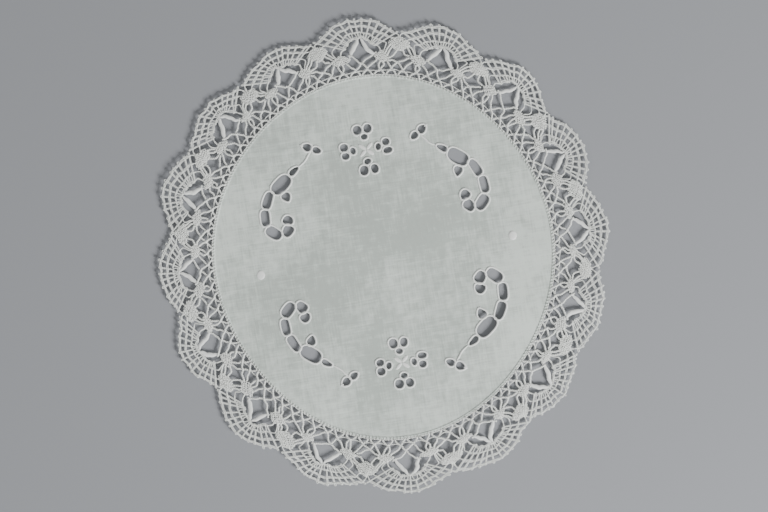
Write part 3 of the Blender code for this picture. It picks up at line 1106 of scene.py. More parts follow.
@dataclass(frozen=True)
class ClothStitch:
    """Patches of cloth stitch: two sets of threads woven over and under each other.

    Each repeat's patch differs from the given one by up to the share uneven, and each thread lies
    up to clump_mm off its even place. The seed decides both.
    """

    pinning: Pinning
    thread: Thread
    patches: dict[str, Cloth]
    spacing_mm: float = 0.67
    height_mm: float = 0.6
    weave_mm: float = 0.17
    crown_mm: float = 0.25
    uneven: float = 0.07
    clump_mm: float = 0.12
    half_samples: int = 40
    seed: int = 5

    def threads(self, cloth: Cloth, side: float, hand: np.random.Generator) -> list[np.ndarray]:
        """Cut one set of parallel threads to the patch's rounded diamond.

        A point belongs to the patch where the powers of its distances from the middle, as shares
        of the half sizes, add up to less than one. Its height swings as a cosine with the crossings.

        Args:
            cloth: The patch.
            side: 1 for the set that leans right, -1 for the set that leans left.
            hand: Moves each thread a little from its even place.

        Returns:
            The threads as arrays of (across, reach, height), in millimetres.
        """
        lean = math.radians(cloth.lean_deg)
        ahead = np.array([math.cos(lean), side * math.sin(lean)])
        aside = np.array([-side * math.sin(lean), math.cos(lean)])
        spread = math.hypot(cloth.half_wide_mm * math.sin(lean), cloth.half_high_mm * math.cos(lean))
        half = int(spread / self.spacing_mm)
        crossing = self.spacing_mm / math.sin(2.0 * lean)
        run = np.arange(-self.half_samples, self.half_samples + 1) * 0.5 * crossing
        middle = np.array([cloth.across_mm, cloth.reach_mm])
        lines = []
        for row in range(-half, half + 1):
            moved = row * self.spacing_mm + self.clump_mm * hand.uniform(-1.0, 1.0)
            flat = run[:, None] * ahead + moved * aside
            wide = np.abs(flat[:, 0] / cloth.half_wide_mm) ** cloth.roundness
            high = np.abs(flat[:, 1] / cloth.half_high_mm) ** cloth.roundness
            kept = wide + high < 1.0
            if kept.sum() < FEWEST_POINTS:
                continue
            swing = side * (-1.0) ** row * np.cos(math.pi * run / crossing)
            crown = self.crown_mm * np.clip(1.0 - wide - high, 0.0, 1.0)
            height = self.height_mm + self.weave_mm * swing + crown
            lines.append(np.column_stack([flat[kept] + middle, height[kept]]))
        return lines

    def surface(self) -> Patch:
        """Weave every patch of every repeat, each its own height, width and lean.

        Returns:
            The surface of all the patches.
        """
        woven: list[Patch] = []
        hand = np.random.default_rng(self.seed)
        for given in self.patches.values():
            for index in REPEATS:
                wide, high, lean = 1.0 + self.uneven * hand.uniform(-1.0, 1.0, 3)
                cloth = given._replace(
                    half_wide_mm=given.half_wide_mm * wide,
                    half_high_mm=given.half_high_mm * high,
                    lean_deg=given.lean_deg * lean,
                )
                for line in self.threads(cloth, 1.0, hand) + self.threads(cloth, -1.0, hand):
                    spots = self.pinning.in_repeat(index, line[:, 0], line[:, 1])
                    woven.append(self.thread.strand(self.pinning.laid(spots, line[:, 2])))
        return joined(woven)


class LeafShape(NamedTuple):
    """One woven leaf: its two ends as (across, reach), its width and its bow."""

    top: tuple[float, float]
    foot: tuple[float, float]
    wide_mm: float
    bow_mm: float


LEAVES = {
    "left leaf": LeafShape((-0.2, 16.6), (-5.2, 9.4), 1.8, -0.3),
    "right leaf": LeafShape((0.5, 16.6), (6.3, 9.3), 1.8, 0.3),
}


@dataclass(frozen=True)
class Leaves:
    """The leaf tallies of each repeat: a weaver wrapped to and fro over long threads.

    Each leaf hangs between two twisted ends, which run into the fan and into the spider. Its tips
    have the share tip_wide of its width and tip_high of its height, and each wrap is a rib.
    """

    pinning: Pinning
    thread: Thread
    sides: int = 12
    rings: int = 68
    high_mm: float = 0.66
    height_mm: float = 0.62
    tip_wide: float = 0.3
    tip_high: float = 0.55
    fullness: float = 0.6
    blunt: float = 0.01
    rib_mm: float = 0.54
    rib_wide: float = 0.07
    rib_high: float = 0.2
    end_share: float = 0.035
    core_share: float = 0.1
    core_samples: int = 36
    core_below_mm: float = 0.1
    uneven_wide: float = 0.12
    uneven_bow_mm: float = 0.3
    seed: int = 9

    def middle_line(self, index: int, leaf: LeafShape, share: np.ndarray) -> np.ndarray:
        """Draw a leaf's middle line: straight from end to end, bowed by a sine.

        Args:
            index: The scallop's row in SCALLOPS.
            leaf: The leaf.
            share: Places along it, 0 at its top and 1 at its foot.

        Returns:
            Points of shape (n, 2), in millimetres.
        """
        top, foot = np.array(leaf.top), np.array(leaf.foot)
        aside = unit_length(np.array([foot[1] - top[1], top[0] - foot[0]]))
        bow = leaf.bow_mm * np.sin(math.pi * share)
        line = top + share[:, None] * (foot - top) + bow[:, None] * aside
        return self.pinning.in_repeat(index, line[:, 0], line[:, 1])

    def worked(self, leaf: LeafShape, hand: np.random.Generator) -> LeafShape:
        """Make a leaf as it comes out in one repeat: a little wider, and bowed its own way.

        Args:
            leaf: The pattern's leaf.
            hand: Decides how it comes out.

        Returns:
            The leaf as worked.
        """
        wide, bow = hand.uniform(-1.0, 1.0, 2)
        wide_mm = leaf.wide_mm * (1.0 + self.uneven_wide * wide)
        return leaf._replace(wide_mm=wide_mm, bow_mm=leaf.bow_mm + self.uneven_bow_mm * bow)

    def body(self, index: int, leaf: LeafShape) -> Patch:
        """Carry a flat oval along a leaf, widest in the middle, with a rib for each wrap.

        Its width grows from the tips as a power of a sine. A rib is a cosine of the length run,
        half a turn later on one side.

        Args:
            index: The scallop's row in SCALLOPS.
            leaf: The leaf.

        Returns:
            The leaf's surface.
        """
        share = np.linspace(0.0, 1.0, self.rings)
        along = self.end_share + (1.0 - 2.0 * self.end_share) * share
        path = self.pinning.laid(self.middle_line(index, leaf, along), self.height_mm)
        run = length_along(path)[:, None]
        turn = TAU * np.arange(self.sides) / self.sides
        rib = np.cos(TAU * run / self.rib_mm + math.pi * (np.cos(turn) > 0.0))
        swell = np.sin(math.pi * np.clip(share, self.blunt, 1.0 - self.blunt))[:, None] ** self.fullness
        wide = (self.tip_wide + (1.0 - self.tip_wide) * swell) * (1.0 + self.rib_wide * rib)
        high = (self.tip_high + (1.0 - self.tip_high) * swell) * (1.0 + self.rib_high * rib)
        half_wide, half_high = 0.5 * leaf.wide_mm * MM, 0.5 * self.high_mm * MM
        return tube(path * MM, half_wide * wide, half_high * high, self.sides)

    def surface(self) -> Patch:
        """Make both leaves of every repeat, with their twisted ends.

        Returns:
            The surface of all the leaves.
        """
        patches = []
        share = np.linspace(-self.core_share, 1.0 + self.core_share, self.core_samples)
        hand = np.random.default_rng(self.seed)
        for index in REPEATS:
            for given in LEAVES.values():
                leaf = self.worked(given, hand)
                patches.append(self.body(index, leaf))
                core = self.middle_line(index, leaf, share)
                height = self.height_mm - self.core_below_mm
                patches += self.thread.pair(self.pinning.laid(core, height))
        return joined(patches)


@dataclass(frozen=True)
class FanPlan:
    """The fan's own measure: along its arcs from -1 to 1, and outward from 0 to 1.

    The worker's bars stand at half_bars on both sides of the middle, each moved by up to uneven.
    Each repeat has its own seed, counted from first_seed.
    """

    pinning: Pinning
    half_bars: tuple[float, ...] = (0.0, 0.17, 0.33, 0.49, 0.645, 0.795, 0.935)
    uneven: float = 0.02
    first_seed: int = 40
    inner_half_mm: float = 8.0
    inner_top_mm: float = 16.9
    inner_drop_mm: float = 4.0
    roundness: float = 2.2
    outer_half_mm: float = 17.4
    inset_mm: float = 0.9
    mean_depth_mm: float = 7.6

    def arcs(self, index: int, along: np.ndarray) -> tuple[np.ndarray, np.ndarray]:
        """Find the innermost and outermost arcs.

        The inner one falls from its top as a power of the distance along; the outer one runs a
        little inside the scallop's edge.

        Args:
            index: The scallop's row in SCALLOPS.
            along: Places along the arcs, from -1 to 1.

        Returns:
            The points of the inner arc and of the outer arc, in millimetres.
        """
        reach = self.inner_top_mm - self.inner_drop_mm * np.abs(along) ** self.roundness
        inner = self.pinning.in_repeat(index, along * self.inner_half_mm, reach)
        unit = along * self.outer_half_mm / HALF_PITCH_MM
        beyond = self.pinning.edge(index, unit) - self.inset_mm
        outer = self.pinning.place(self.pinning.bearing(index, unit), beyond)
        return inner, outer

    def spots(self, index: int, along: np.ndarray, outward: np.ndarray) -> np.ndarray:
        """Find points between the arcs, a share of the way outward."""
        inner, outer = self.arcs(index, along)
        return inner + (outer - inner) * outward[:, None]

    def bars(self, index: int) -> np.ndarray:
        """Place the worker's bars of one fan.

        Args:
            index: The scallop's row in SCALLOPS.

        Returns:
            Their places along the arcs, from the left.
        """
        half = np.array(self.half_bars)
        places = np.concatenate([-half[:0:-1], half])
        hand = np.random.default_rng(self.first_seed + index)
        return places + hand.uniform(-self.uneven, self.uneven, len(places))


class Trail(NamedTuple):
    """One trail of the fan: how far out it lies, its threads, and its tails at the fan's ends."""

    outward: float
    threads: int
    tails: tuple[tuple[float, float], ...]


class Sway(NamedTuple):
    """One slow sine that moves a trail outward: its size, and its radians in half a fan.

    It starts some radians on in each repeat, and some on for a trail that lies a fan's depth out.
    """

    size: float
    turns: float
    repeat_shift: float
    outward_shift: float


TRAILS = {
    "inner trail": Trail(0.0, 3, ((8.4, 12.3), (8.8, 11.2), (9.0, 9.4))),
    "second trail": Trail(0.3, 2, ((11.6, 13.9), (11.6, 12.7), (10.9, 11.2), (10.2, 9.4))),
    "third trail": Trail(0.66, 3, ((15.0, 15.9), (16.2, 14.6))),
    "edge trail": Trail(1.0, 3, ((17.25, 17.6), (17.3, 15.6))),
}


@dataclass(frozen=True)
class FanTrails:
    """The trails of each fan: threads side by side that follow the scallop.

    The body of a thread is drawn at a number of samples; its knots are every knot_step-th, and the
    ones nearest to its ends are left out, so that the tails join it smoothly.
    """

    pinning: Pinning
    thread: Thread
    plan: FanPlan
    spacing_mm: float = 0.33
    gather: float = 0.5
    height_mm: float = 0.6
    weave_mm: float = 0.15
    sways: tuple[Sway, ...] = (Sway(0.018, 7.0, 2.3, 11.0), Sway(0.0108, 15.0, 4.1, 5.0))
    samples: int = 125
    knot_step: int = 4
    left_out: int = 6

    def line(self, index: int, trail: Trail, number: int) -> np.ndarray:
        """Draw one thread of a trail, tails included.

        Its height is a cosine of the bar that it has reached, so that it goes over one bar and
        under the next, and the trail sways by slow sines.

        Args:
            index: The scallop's row in SCALLOPS.
            trail: The trail.
            number: The thread's number in it.

        Returns:
            Points of shape (n, 3): places, and heights above the trail's own, in millimetres.
        """
        offset = (number - 0.5 * (trail.threads - 1)) * self.spacing_mm
        weave_mm = self.weave_mm if number % 2 else -self.weave_mm
        along = np.linspace(-1.0, 1.0, self.samples)
        outward = trail.outward + offset / self.plan.mean_depth_mm
        for sway in self.sways:
            shift = sway.repeat_shift * index + sway.outward_shift * trail.outward
            outward = outward + sway.size * np.sin(sway.turns * along + shift)
        places = self.plan.bars(index)
        reached = np.interp(along, places, np.arange(len(places)))
        arc = self.plan.spots(index, along, outward)
        body = np.column_stack([arc, weave_mm * np.cos(math.pi * reached)])
        tails = np.array(trail.tails)
        low = np.full(len(tails), 0.5 * weave_mm)
        ends = []
        for side in (-1.0, 1.0):
            across = side * (tails[:, 0] - self.gather * offset)
            spots = self.pinning.in_repeat(index, across, tails[:, 1])
            ends.append(np.column_stack([spots, low]))
        kept = body[self.left_out : -self.left_out : self.knot_step]
        return smooth_line(np.concatenate([ends[0][::-1], kept, ends[1]]), self.thread.step_mm)

    def surface(self) -> Patch:
        """Lay every thread of every trail of every repeat.

        Returns:
            The trails' surface.
        """
        patches = []
        for index in REPEATS:
            for trail in TRAILS.values():
                for number in range(trail.threads):
                    line = self.line(index, trail, number)
                    path = self.pinning.laid(line[:, :2], self.height_mm + line[:, 2])
                    patches.append(self.thread.strand(path))
        return joined(patches)


@dataclass(frozen=True)
class FanWorkers:
    """The worker pair of each fan: bars of two passes across the trails, with a picot on each.

    Every second bar turns back at the second trail, because the fan narrows inward. Sizes and
    places are in the fan's own measure. A picot is loop wide on each side of its bar, at its neck.
    """

    pinning: Pinning
    thread: Thread
    plan: FanPlan
    height_mm: float = 0.6
    beside: float = 0.0105
    loop: float = 0.018
    neck: float = 1.0875
    picot: float = 1.125
    inside: float = -0.08
    short: float = 0.3
    turn_shares: tuple[float, float] = (0.4, 0.65)
    stations: tuple[float, ...] = (0.0, 0.15, 0.3, 0.48, 0.66, 0.83, 1.0)

    def knots(self, index: int) -> np.ndarray:
        """List the worker's knots, from the fan's left end to its right.

        On each bar it goes out, loops round the edge trail as a picot, comes back beside itself,
        and loops round the innermost trail of that bar on its way to the next.

        Args:
            index: The scallop's row in SCALLOPS.

        Returns:
            Knots as (along, outward) in the fan's own measure.
        """
        places = self.plan.bars(index)
        starts = np.where(np.arange(len(places)) % 2 == 0, 0.0, self.short)
        outward = np.array(self.stations)
        parts = []
        for number, (place, start) in enumerate(zip(places, starts)):
            run = outward[outward >= start]
            left, right = place - self.loop, place + self.loop
            parts.append(np.column_stack([np.full(len(run), place - self.beside), run]))
            parts.append(np.array([[left, self.neck], [place, self.picot], [right, self.neck]]))
            parts.append(np.column_stack([np.full(len(run), place + self.beside), run[::-1]]))
            if number + 1 < len(places):
                first, last = place + np.array(self.turn_shares) * (places[number + 1] - place)
                ends = (start + self.inside, starts[number + 1] + self.inside)
                parts.append(np.array([[first, ends[0]], [last, ends[1]]]))
        return np.concatenate(parts)

    def surface(self) -> Patch:
        """Lay the worker pair of every fan.

        Returns:
            The workers' surface.
        """
        patches: list[Patch] = []
        for index in REPEATS:
            knots = self.knots(index)
            spots = self.plan.spots(index, knots[:, 0], knots[:, 1])
            line = smooth_line(spots, self.thread.step_mm)
            patches += self.thread.pair(self.pinning.laid(line, self.height_mm), phase=index)
        return joined(patches)


# ------------------------------------------------------------------ linen
class Opening(NamedTuple):
    """One opening of the cutwork: its middle, half sizes, lean, and how its oval is reshaped.

    The taper widens its far end, the bend bows its length, and the squareness is the oval's power.
    """

    x_mm: float
    y_mm: float
    half_long_mm: float
    half_wide_mm: float
    lean_deg: float
    taper: float
    bend_mm: float
    squareness: float


class Sewing(NamedTuple):
    """How one corner of the mirrored design is sewn: its sides, and its shift, turn and stretch."""

    side_x: float
    side_y: float
    shift_x_mm: float
    shift_y_mm: float
    turn_deg: float
    wide: float
    high: float


def turned(points: np.ndarray, angle_deg: float) -> np.ndarray:
    """Turn points anticlockwise about the origin.

    Args:
        points: Points of shape (n, 2).
        angle_deg: The angle in degrees.

    Returns:
        The turned points.
    """
    angle = math.radians(angle_deg)
    x, y = points.T
    return np.column_stack(
        [x * math.cos(angle) - y * math.sin(angle), x * math.sin(angle) + y * math.cos(angle)]
    )


# The middle of the upper right scroll, about which each corner's sewing turns and stretches it.
SCROLL_MIDDLE = (40.0, 32.0)


class Corner(Enum):
    """The four corners of the mirrored design."""

    TOP_LEFT = Sewing(-1.0, 1.0, 0.2, 0.3, -0.9, 1.014, 0.973)
    TOP_RIGHT = Sewing(1.0, 1.0, 0.2, -0.7, 1.7, 0.954, 1.036)
    LOW_LEFT = Sewing(-1.0, -1.0, -0.4, -1.0, -0.2, 0.966, 0.997)
    LOW_RIGHT = Sewing(1.0, -1.0, 0.2, -0.5, 0.2, 1.024, 1.043)

    def carry(self, points: np.ndarray) -> np.ndarray:
        """Stretch, turn and shift points about the scroll's middle, then mirror them.

        Args:
            points: Points of the upper right corner, of shape (n, 2), in millimetres.

        Returns:
            The points in this corner.
        """
        sewing = self.value
        middle = np.array(SCROLL_MIDDLE)
        moved = turned((points - middle) * np.array([sewing.wide, sewing.high]), sewing.turn_deg)
        moved = middle + moved + np.array([sewing.shift_x_mm, sewing.shift_y_mm])
        return moved * np.array([sewing.side_x, sewing.side_y])


CORNER_OPENINGS = {
    "tail": Opening(32.75, 43.45, 2.35, 0.95, -34.0, 0.4, -0.15, 2.3),
    "belly": Opening(39.3, 38.4, 4.7, 2.75, -37.5, 0.0, 0.1, 2.8),
    "upper neck": Opening(46.25, 32.5, 3.65, 1.7, -63.5, 0.1, -0.15, 3.5),
    "lower neck": Opening(48.7, 24.75, 3.4, 1.7, -86.0, 0.0, -0.1, 3.6),
    "turn": Opening(46.25, 17.45, 3.45, 2.15, -137.0, -0.05, -0.05, 2.9),
    "inner turn": Opening(40.0, 17.15, 2.4, 2.0, -230.0, 0.15, 0.25, 2.6),
    "curl": Opening(39.15, 22.1, 1.75, 2.0, 112.0, -0.25, -0.2, 2.4),
    "spur": Opening(38.05, 32.4, 2.0, 1.6, 66.0, 0.5, -0.15, 1.9),
    "leaf, inner": Opening(21.4, 50.8, 1.75, 1.2, 30.0, 0.25, 0.0, 1.9),
    "leaf, outer": Opening(25.45, 53.0, 1.9, 1.45, 32.0, -0.3, 0.0, 1.9),
}

# How far the flowers lie from the doily's middle, and on which sides of it.
FLOWER_REACH_MM = 47.7
FLOWER_SIDES = (1.0, -1.0)

FLOWER_OPENINGS = {
    "top, left": Opening(-2.6, 9.0, 1.75, 1.8, 12.0, 0.0, 0.0, 2.2),
    "top, right": Opening(2.0, 9.1, 1.6, 1.75, -12.0, 0.0, 0.0, 2.2),
    "top, inner": Opening(0.0, 5.7, 1.3, 1.05, 0.0, 0.0, 0.0, 2.0),
    "left, inner": Opening(-5.9, 0.3, 1.0, 1.35, 12.0, 0.0, 0.0, 2.0),
    "left, upper": Opening(-9.6, 2.3, 1.6, 1.5, 0.0, 0.0, 0.0, 2.2),
    "left, lower": Opening(-9.5, -1.5, 1.5, 1.3, -10.0, 0.0, 0.0, 2.2),
    "right, inner": Opening(5.4, 0.4, 1.0, 1.35, -12.0, 0.0, 0.0, 2.0),
    "right, upper": Opening(9.0, 2.0, 1.45, 1.35, 0.0, 0.0, 0.0, 2.2),
    "right, lower": Opening(9.3, -1.8, 1.8, 1.15, 5.0, 0.0, 0.0, 2.3),
    "low, inner": Opening(-0.3, -5.3, 1.35, 1.05, 15.0, 0.0, 0.0, 2.0),
    "low, left": Opening(-2.4, -9.0, 1.7, 1.95, -12.0, 0.0, 0.0, 2.2),
    "low, right": Opening(2.3, -8.9, 1.45, 1.8, 12.0, 0.0, 0.0, 2.2),
}


def in_flower(points: np.ndarray, side: float) -> np.ndarray:
    """Move points from about the origin to one flower, mirrored for the lower one."""
    return (points + np.array([0.0, FLOWER_REACH_MM])) * np.array([1.0, side])


# How finely an oval is drawn, and where along it, as a squared share, its bow leaves it in place.
OVAL_SAMPLES = 180
BOW_MIDDLE = 0.35


def outline(opening: Opening, step_mm: float) -> np.ndarray:
    """Draw an opening's closed outline in even steps.

    The outline is an oval with powers of sine and cosine. Its width grows with the place along it
    by the taper, its length is bowed by the square of that place, and all is turned by its lean.

    Args:
        opening: The opening.
        step_mm: The distance between points, in millimetres.

    Returns:
        Points of shape (n, 2), in millimetres, the first not repeated.
    """
    turn = TAU * np.arange(OVAL_SAMPLES + 1) / OVAL_SAMPLES
    power = 2.0 / opening.squareness
    along = np.sign(np.cos(turn)) * np.abs(np.cos(turn)) ** power
    aside = np.sign(np.sin(turn)) * np.abs(np.sin(turn)) ** power
    x = opening.half_long_mm * along
    y = opening.half_wide_mm * aside * (1.0 + opening.taper * along)
    y = y + opening.bend_mm * (along**2 - BOW_MIDDLE)
    loop = turned(np.column_stack([x, y]), opening.lean_deg)
    return even(loop + np.array([opening.x_mm, opening.y_mm]), step_mm)[:-1]


def inside(points: np.ndarray, loop: np.ndarray) -> np.ndarray:
    """Test which points lie inside a closed loop, by counting the sides to their right.

    Args:
        points: Points of shape (n, 2).
        loop: The loop's corners, of shape (m, 2).

    Returns:
        True for each point inside.
    """
    near = np.all((points >= loop.min(axis=0)) & (points <= loop.max(axis=0)), axis=1)
    found = np.zeros(len(points), dtype=bool)
    x, y = points[near].T[:, :, None]
    x1, y1 = loop.T[:, None, :]
    x2, y2 = np.roll(loop, -1, axis=0).T[:, None, :]
    spans = (y1 > y) != (y2 > y)
    rise = np.where(y2 == y1, 1.0, y2 - y1)
    right = x < x1 + (y - y1) * (x2 - x1) / rise
    found[near] = np.sum(spans & right, axis=1) % 2 == 1
    return found


def widened(loop: np.ndarray, by_mm: float) -> np.ndarray:
    """Move a closed loop outward along its own normals.

    Args:
        loop: Points of shape (n, 2), in millimetres.
        by_mm: How far to move it.

    Returns:
        The moved loop.
    """
    ahead = ahead_of(loop, closed=True)
    after = np.roll(loop, -1, axis=0)
    area = 0.5 * np.sum(loop[:, 0] * after[:, 1] - after[:, 0] * loop[:, 1])
    out = np.column_stack([ahead[:, 1], -ahead[:, 0]]) * math.copysign(1.0, area)
    return loop + by_mm * out


@dataclass(frozen=True)
class Cutwork:
    """Every opening of the linen, as closed loops in millimetres, drawn open by its stitches."""

    step_mm: float = 0.4
    drawn_mm: float = 0.14

    def loops(self) -> list[np.ndarray]:
        """Draw the openings of the four corners and of the two flowers.

        Returns:
            One closed loop for each opening, the first point not repeated.
        """
        loops = [
            corner.carry(outline(opening, self.step_mm))
            for corner in Corner
            for opening in CORNER_OPENINGS.values()
        ]
        for side in FLOWER_SIDES:
            for opening in FLOWER_OPENINGS.values():
                loops.append(in_flower(outline(opening, self.step_mm), side))
        return [widened(loop, self.drawn_mm) for loop in loops]


@dataclass(frozen=True)
class LinenSheet:
    """The linen itself: a thin sheet, cut to its oval and open at the cutwork.

    Its grid has rows row_share of its spacing apart, and keeps clear_share of it from every loop.
    """

    pinning: Pinning
    cutwork: Cutwork
    thick_mm: float = 0.4
    under_mm: float = 0.12
    inset_mm: float = 0.15
    rim_step_mm: float = 1.0
    spacing_mm: float = 2.6
    row_share: float = 0.866
    clear_share: float = 0.45
    margin_mm: float = 4.0
    weld_mm: float = 1e-6

    def rim(self, beyond_mm: float, step_mm: float) -> np.ndarray:
        """Draw the linen's own outline, moved out by a distance.

        Args:
            beyond_mm: The distance.
            step_mm: The distance between points, about.

        Returns:
            A closed loop in millimetres, the first point not repeated.
        """
        count = int(TAU * LINEN_RADIUS_MM / step_mm)
        bearing = TAU * np.arange(count) / count
        return round_spots(bearing, self.pinning.linen_radius(bearing) + beyond_mm)

    def on_cloth(self, points: np.ndarray, rim: np.ndarray, holes: list[np.ndarray]) -> np.ndarray:
        """Test which points lie inside the rim and outside every hole."""
        return inside(points, rim) & ~np.any([inside(points, hole) for hole in holes], axis=0)

    def surface(self) -> Patch:
        """Fill the oval between its loops with triangles and give it two faces and cut edges.

        The points are the loops' own and a staggered grid between them. A Delaunay mesh joins
        them, and a triangle stays where its middle lies on cloth. Each cut edge is the side of one
        triangle alone.

        Returns:
            The sheet's surface.
        """
        rim = self.rim(-self.inset_mm, self.rim_step_mm)
        holes = self.cutwork.loops()
        loops = [rim] + holes
        starts = np.cumsum([0] + [len(loop) for loop in loops[:-1]])
        sides = [
            np.column_stack([np.arange(len(loop)), (np.arange(len(loop)) + 1) % len(loop)]) + start
            for loop, start in zip(loops, starts)
        ]
        border = np.concatenate(loops)
        points = np.concatenate([border, self.grid(border, rim, holes)])
        edges = np.concatenate(sides).tolist()
        found = geometry.delaunay_2d_cdt(points.tolist(), edges, [], 0, self.weld_mm)
        flat = np.array([tuple(point) for point in found[0]])
        tris = np.array(found[2])
        return self.thickened(flat, tris[self.on_cloth(flat[tris].mean(axis=1), rim, holes)])

    def grid(self, border: np.ndarray, rim: np.ndarray, holes: list[np.ndarray]) -> np.ndarray:
        """Lay a staggered grid over the cloth, clear of every loop.

        Args:
            border: The points of all the loops.
            rim: The linen's outline.
            holes: The loops of its openings.

        Returns:
            The grid's points, of shape (n, 2).
        """
        reach = LINEN_RADIUS_MM + self.margin_mm
        rows = np.arange(-reach, reach, self.spacing_mm * self.row_share)
        columns = np.arange(-reach, reach, self.spacing_mm)
        x, y = np.meshgrid(columns, rows)
        x = x + 0.5 * self.spacing_mm * (np.arange(len(rows)) % 2)[:, None]
        grid = np.column_stack([x.ravel(), y.ravel()])
        grid = grid[self.on_cloth(grid, rim, holes)]
        apart = np.linalg.norm(grid[:, None, :] - border[None, :, :], axis=2).min(axis=1)
        return grid[apart > self.clear_share * self.spacing_mm]

    def thickened(self, flat: np.ndarray, tris: np.ndarray) -> Patch:
        """Give a flat mesh an underside and its cut edges.

        Args:
            flat: Points of shape (n, 2), in millimetres.
            tris: The triangles between them.

        Returns:
            The closed surface, without the points that no face uses.
        """
        edge_a, edge_b = flat[tris[:, 1]] - flat[tris[:, 0]], flat[tris[:, 2]] - flat[tris[:, 0]]
        clockwise = edge_a[:, 0] * edge_b[:, 1] - edge_a[:, 1] * edge_b[:, 0] < 0.0
        tris[clockwise] = tris[clockwise][:, ::-1]
        count = len(flat)
        sides = np.concatenate([tris[:, [0, 1]], tris[:, [1, 2]], tris[:, [2, 0]]])
        key = sides[:, 0] * count + sides[:, 1]
        back = sides[:, 1] * count + sides[:, 0]
        cut = sides[~np.isin(key, back)]
        walls = np.column_stack([cut[:, 1], cut[:, 0], cut[:, 0] + count, cut[:, 1] + count])
        low = self.pinning.laid(flat, self.under_mm)
        high = self.pinning.laid(flat, self.under_mm + self.thick_mm)
        points = np.concatenate([high, low]) * MM
        faces = np.concatenate([tris, tris[:, ::-1] + count])
        used = np.unique(faces)
        renumber = np.full(2 * count, -1)
        renumber[used] = np.arange(len(used))
        return Patch(points[used], renumber[walls], renumber[faces])


@dataclass(frozen=True)
class Hem:
    """The rolled hem: a low oval cord round the linen's edge, fuller between the whipping stitches."""

    pinning: Pinning
    sheet: LinenSheet
    half_wide_mm: float = 0.62
    half_high_mm: float = 0.3
    inset_mm: float = 0.496
    height_mm: float = 0.38
    stitch_mm: float = 1.45
    full: float = 0.08
    drift: float = 0.04
    drift_turn: float = 0.31
    step_mm: float = 0.5
    sides: int = 8

    def surface(self) -> Patch:
        """Carry the oval round the edge, its size a cosine of the stitches plus a slow drift.

        Returns:
            The hem's surface.
        """
        loop = self.sheet.rim(-self.inset_mm, self.step_mm)
        path = self.pinning.laid(loop, self.height_mm)
        run = self.step_mm * np.arange(len(loop))[:, None]
        size = 1.0 + self.full * np.cos(TAU * run / self.stitch_mm)
        size = MM * (size + self.drift * np.sin(self.drift_turn * run))
        return tube(path * MM, self.half_wide_mm * size, self.half_high_mm * size, self.sides, True)


@dataclass(frozen=True)
class Whipping:
    """The thread that whips the hem to the lace's footside."""

    pinning: Pinning
    thread: Thread
    stitch_mm: float = 1.45
    samples: int = 14
    beyond_mm: float = -0.05
    wide_mm: float = 0.62
    height_mm: float = 0.44
    high_mm: float = 0.5
    lowest_mm: float = 0.14

    def surface(self) -> Patch:
        """Wind the thread round the hem's edge and the lace's edge pair: a flattened helix.

        Returns:
            The thread's surface.
        """
        count = int(TAU * LINEN_RADIUS_MM / self.stitch_mm)
        bearing = TAU * np.arange(self.samples * count) / (self.samples * count)
        turn = count * bearing
        beyond = self.beyond_mm + self.wide_mm * np.cos(turn)
        spots = round_spots(bearing, self.pinning.linen_radius(bearing) + beyond)
        height = np.maximum(self.height_mm + self.high_mm * np.sin(turn), self.lowest_mm)
        return self.thread.strand(self.pinning.laid(spots, height), closed=True)


# Each line of stem stitch, as its knots in the upper right corner.
STEMS = {
    "tail to leaf": ((30.2, 45.0), (28.6, 45.9), (27.0, 47.2), (25.6, 49.0), (23.9, 51.1)),
    "leaf tip": ((26.8, 53.8), (28.3, 54.4)),
}


@dataclass(frozen=True)
class StitchedEdges:
    """The close buttonhole stitching round every opening, and the stem stitch between them.

    A stitch is samples_each rings of its cord. A stem is stem_size times as thick as a rim.
    """

    pinning: Pinning
    cutwork: Cutwork
    stitch_mm: float = 0.5
    samples_each: int = 4
    rib: float = 0.16
    half_wide_mm: float = 0.42
    half_high_mm: float = 0.36
    height_mm: float = 0.46
    clear_mm: float = 0.44
    stem_size: float = 1.1
    narrowing: float = 0.85
    sides: int = 6

    @property
    def step_mm(self) -> float:
        """Return the distance between a cord's rings."""
        return self.stitch_mm / self.samples_each

    def cord(self, line: np.ndarray, closed: bool, size: float) -> Patch:
        """Carry a low oval along a line, with a slanting rib for each stitch.

        Args:
            line: Points of shape (n, 2), in millimetres.
            closed: Whether it joins its own start.
            size: The cord's size as a share of a rim's; an open cord narrows to its ends.

        Returns:
            The cord's surface.
        """
        samples = even(np.concatenate([line, line[:1]]) if closed else line, self.step_mm)
        if closed:
            samples = samples[:-1]
        path = self.pinning.laid(samples, self.height_mm)
        stitches = round(len(samples) / self.samples_each)
        turn = TAU * stitches * np.arange(len(samples)) / len(samples)
        around = TAU * np.arange(self.sides) / self.sides
        rib = size * (1.0 + self.rib * np.cos(turn[:, None] + around))
        if not closed:
            share = np.linspace(-1.0, 1.0, len(samples))[:, None]
            rib = rib * np.sqrt(1.0 - self.narrowing * share**4)
        wide, high = self.half_wide_mm * MM * rib, self.half_high_mm * MM * rib
        return tube(path * MM, wide, high, self.sides, closed)

    def surface(self) -> Patch:
        """Stitch every rim, then every stem.

        Returns:
            The surface of all the stitching.
        """
        rims = [widened(loop, self.clear_mm) for loop in self.cutwork.loops()]
        patches = [self.cord(rim, True, 1.0) for rim in rims]
        for corner in Corner:
            for stem in STEMS.values():
                line = corner.carry(smooth_line(stem, self.stitch_mm))
                patches.append(self.cord(line, False, self.stem_size))
        return joined(patches)


class Satin(NamedTuple):
    """One padded satin-stitch shape: its middle, its half sizes and its lean, anticlockwise."""

    x_mm: float
    y_mm: float
    half_long_mm: float
    half_wide_mm: float
    lean_deg: float


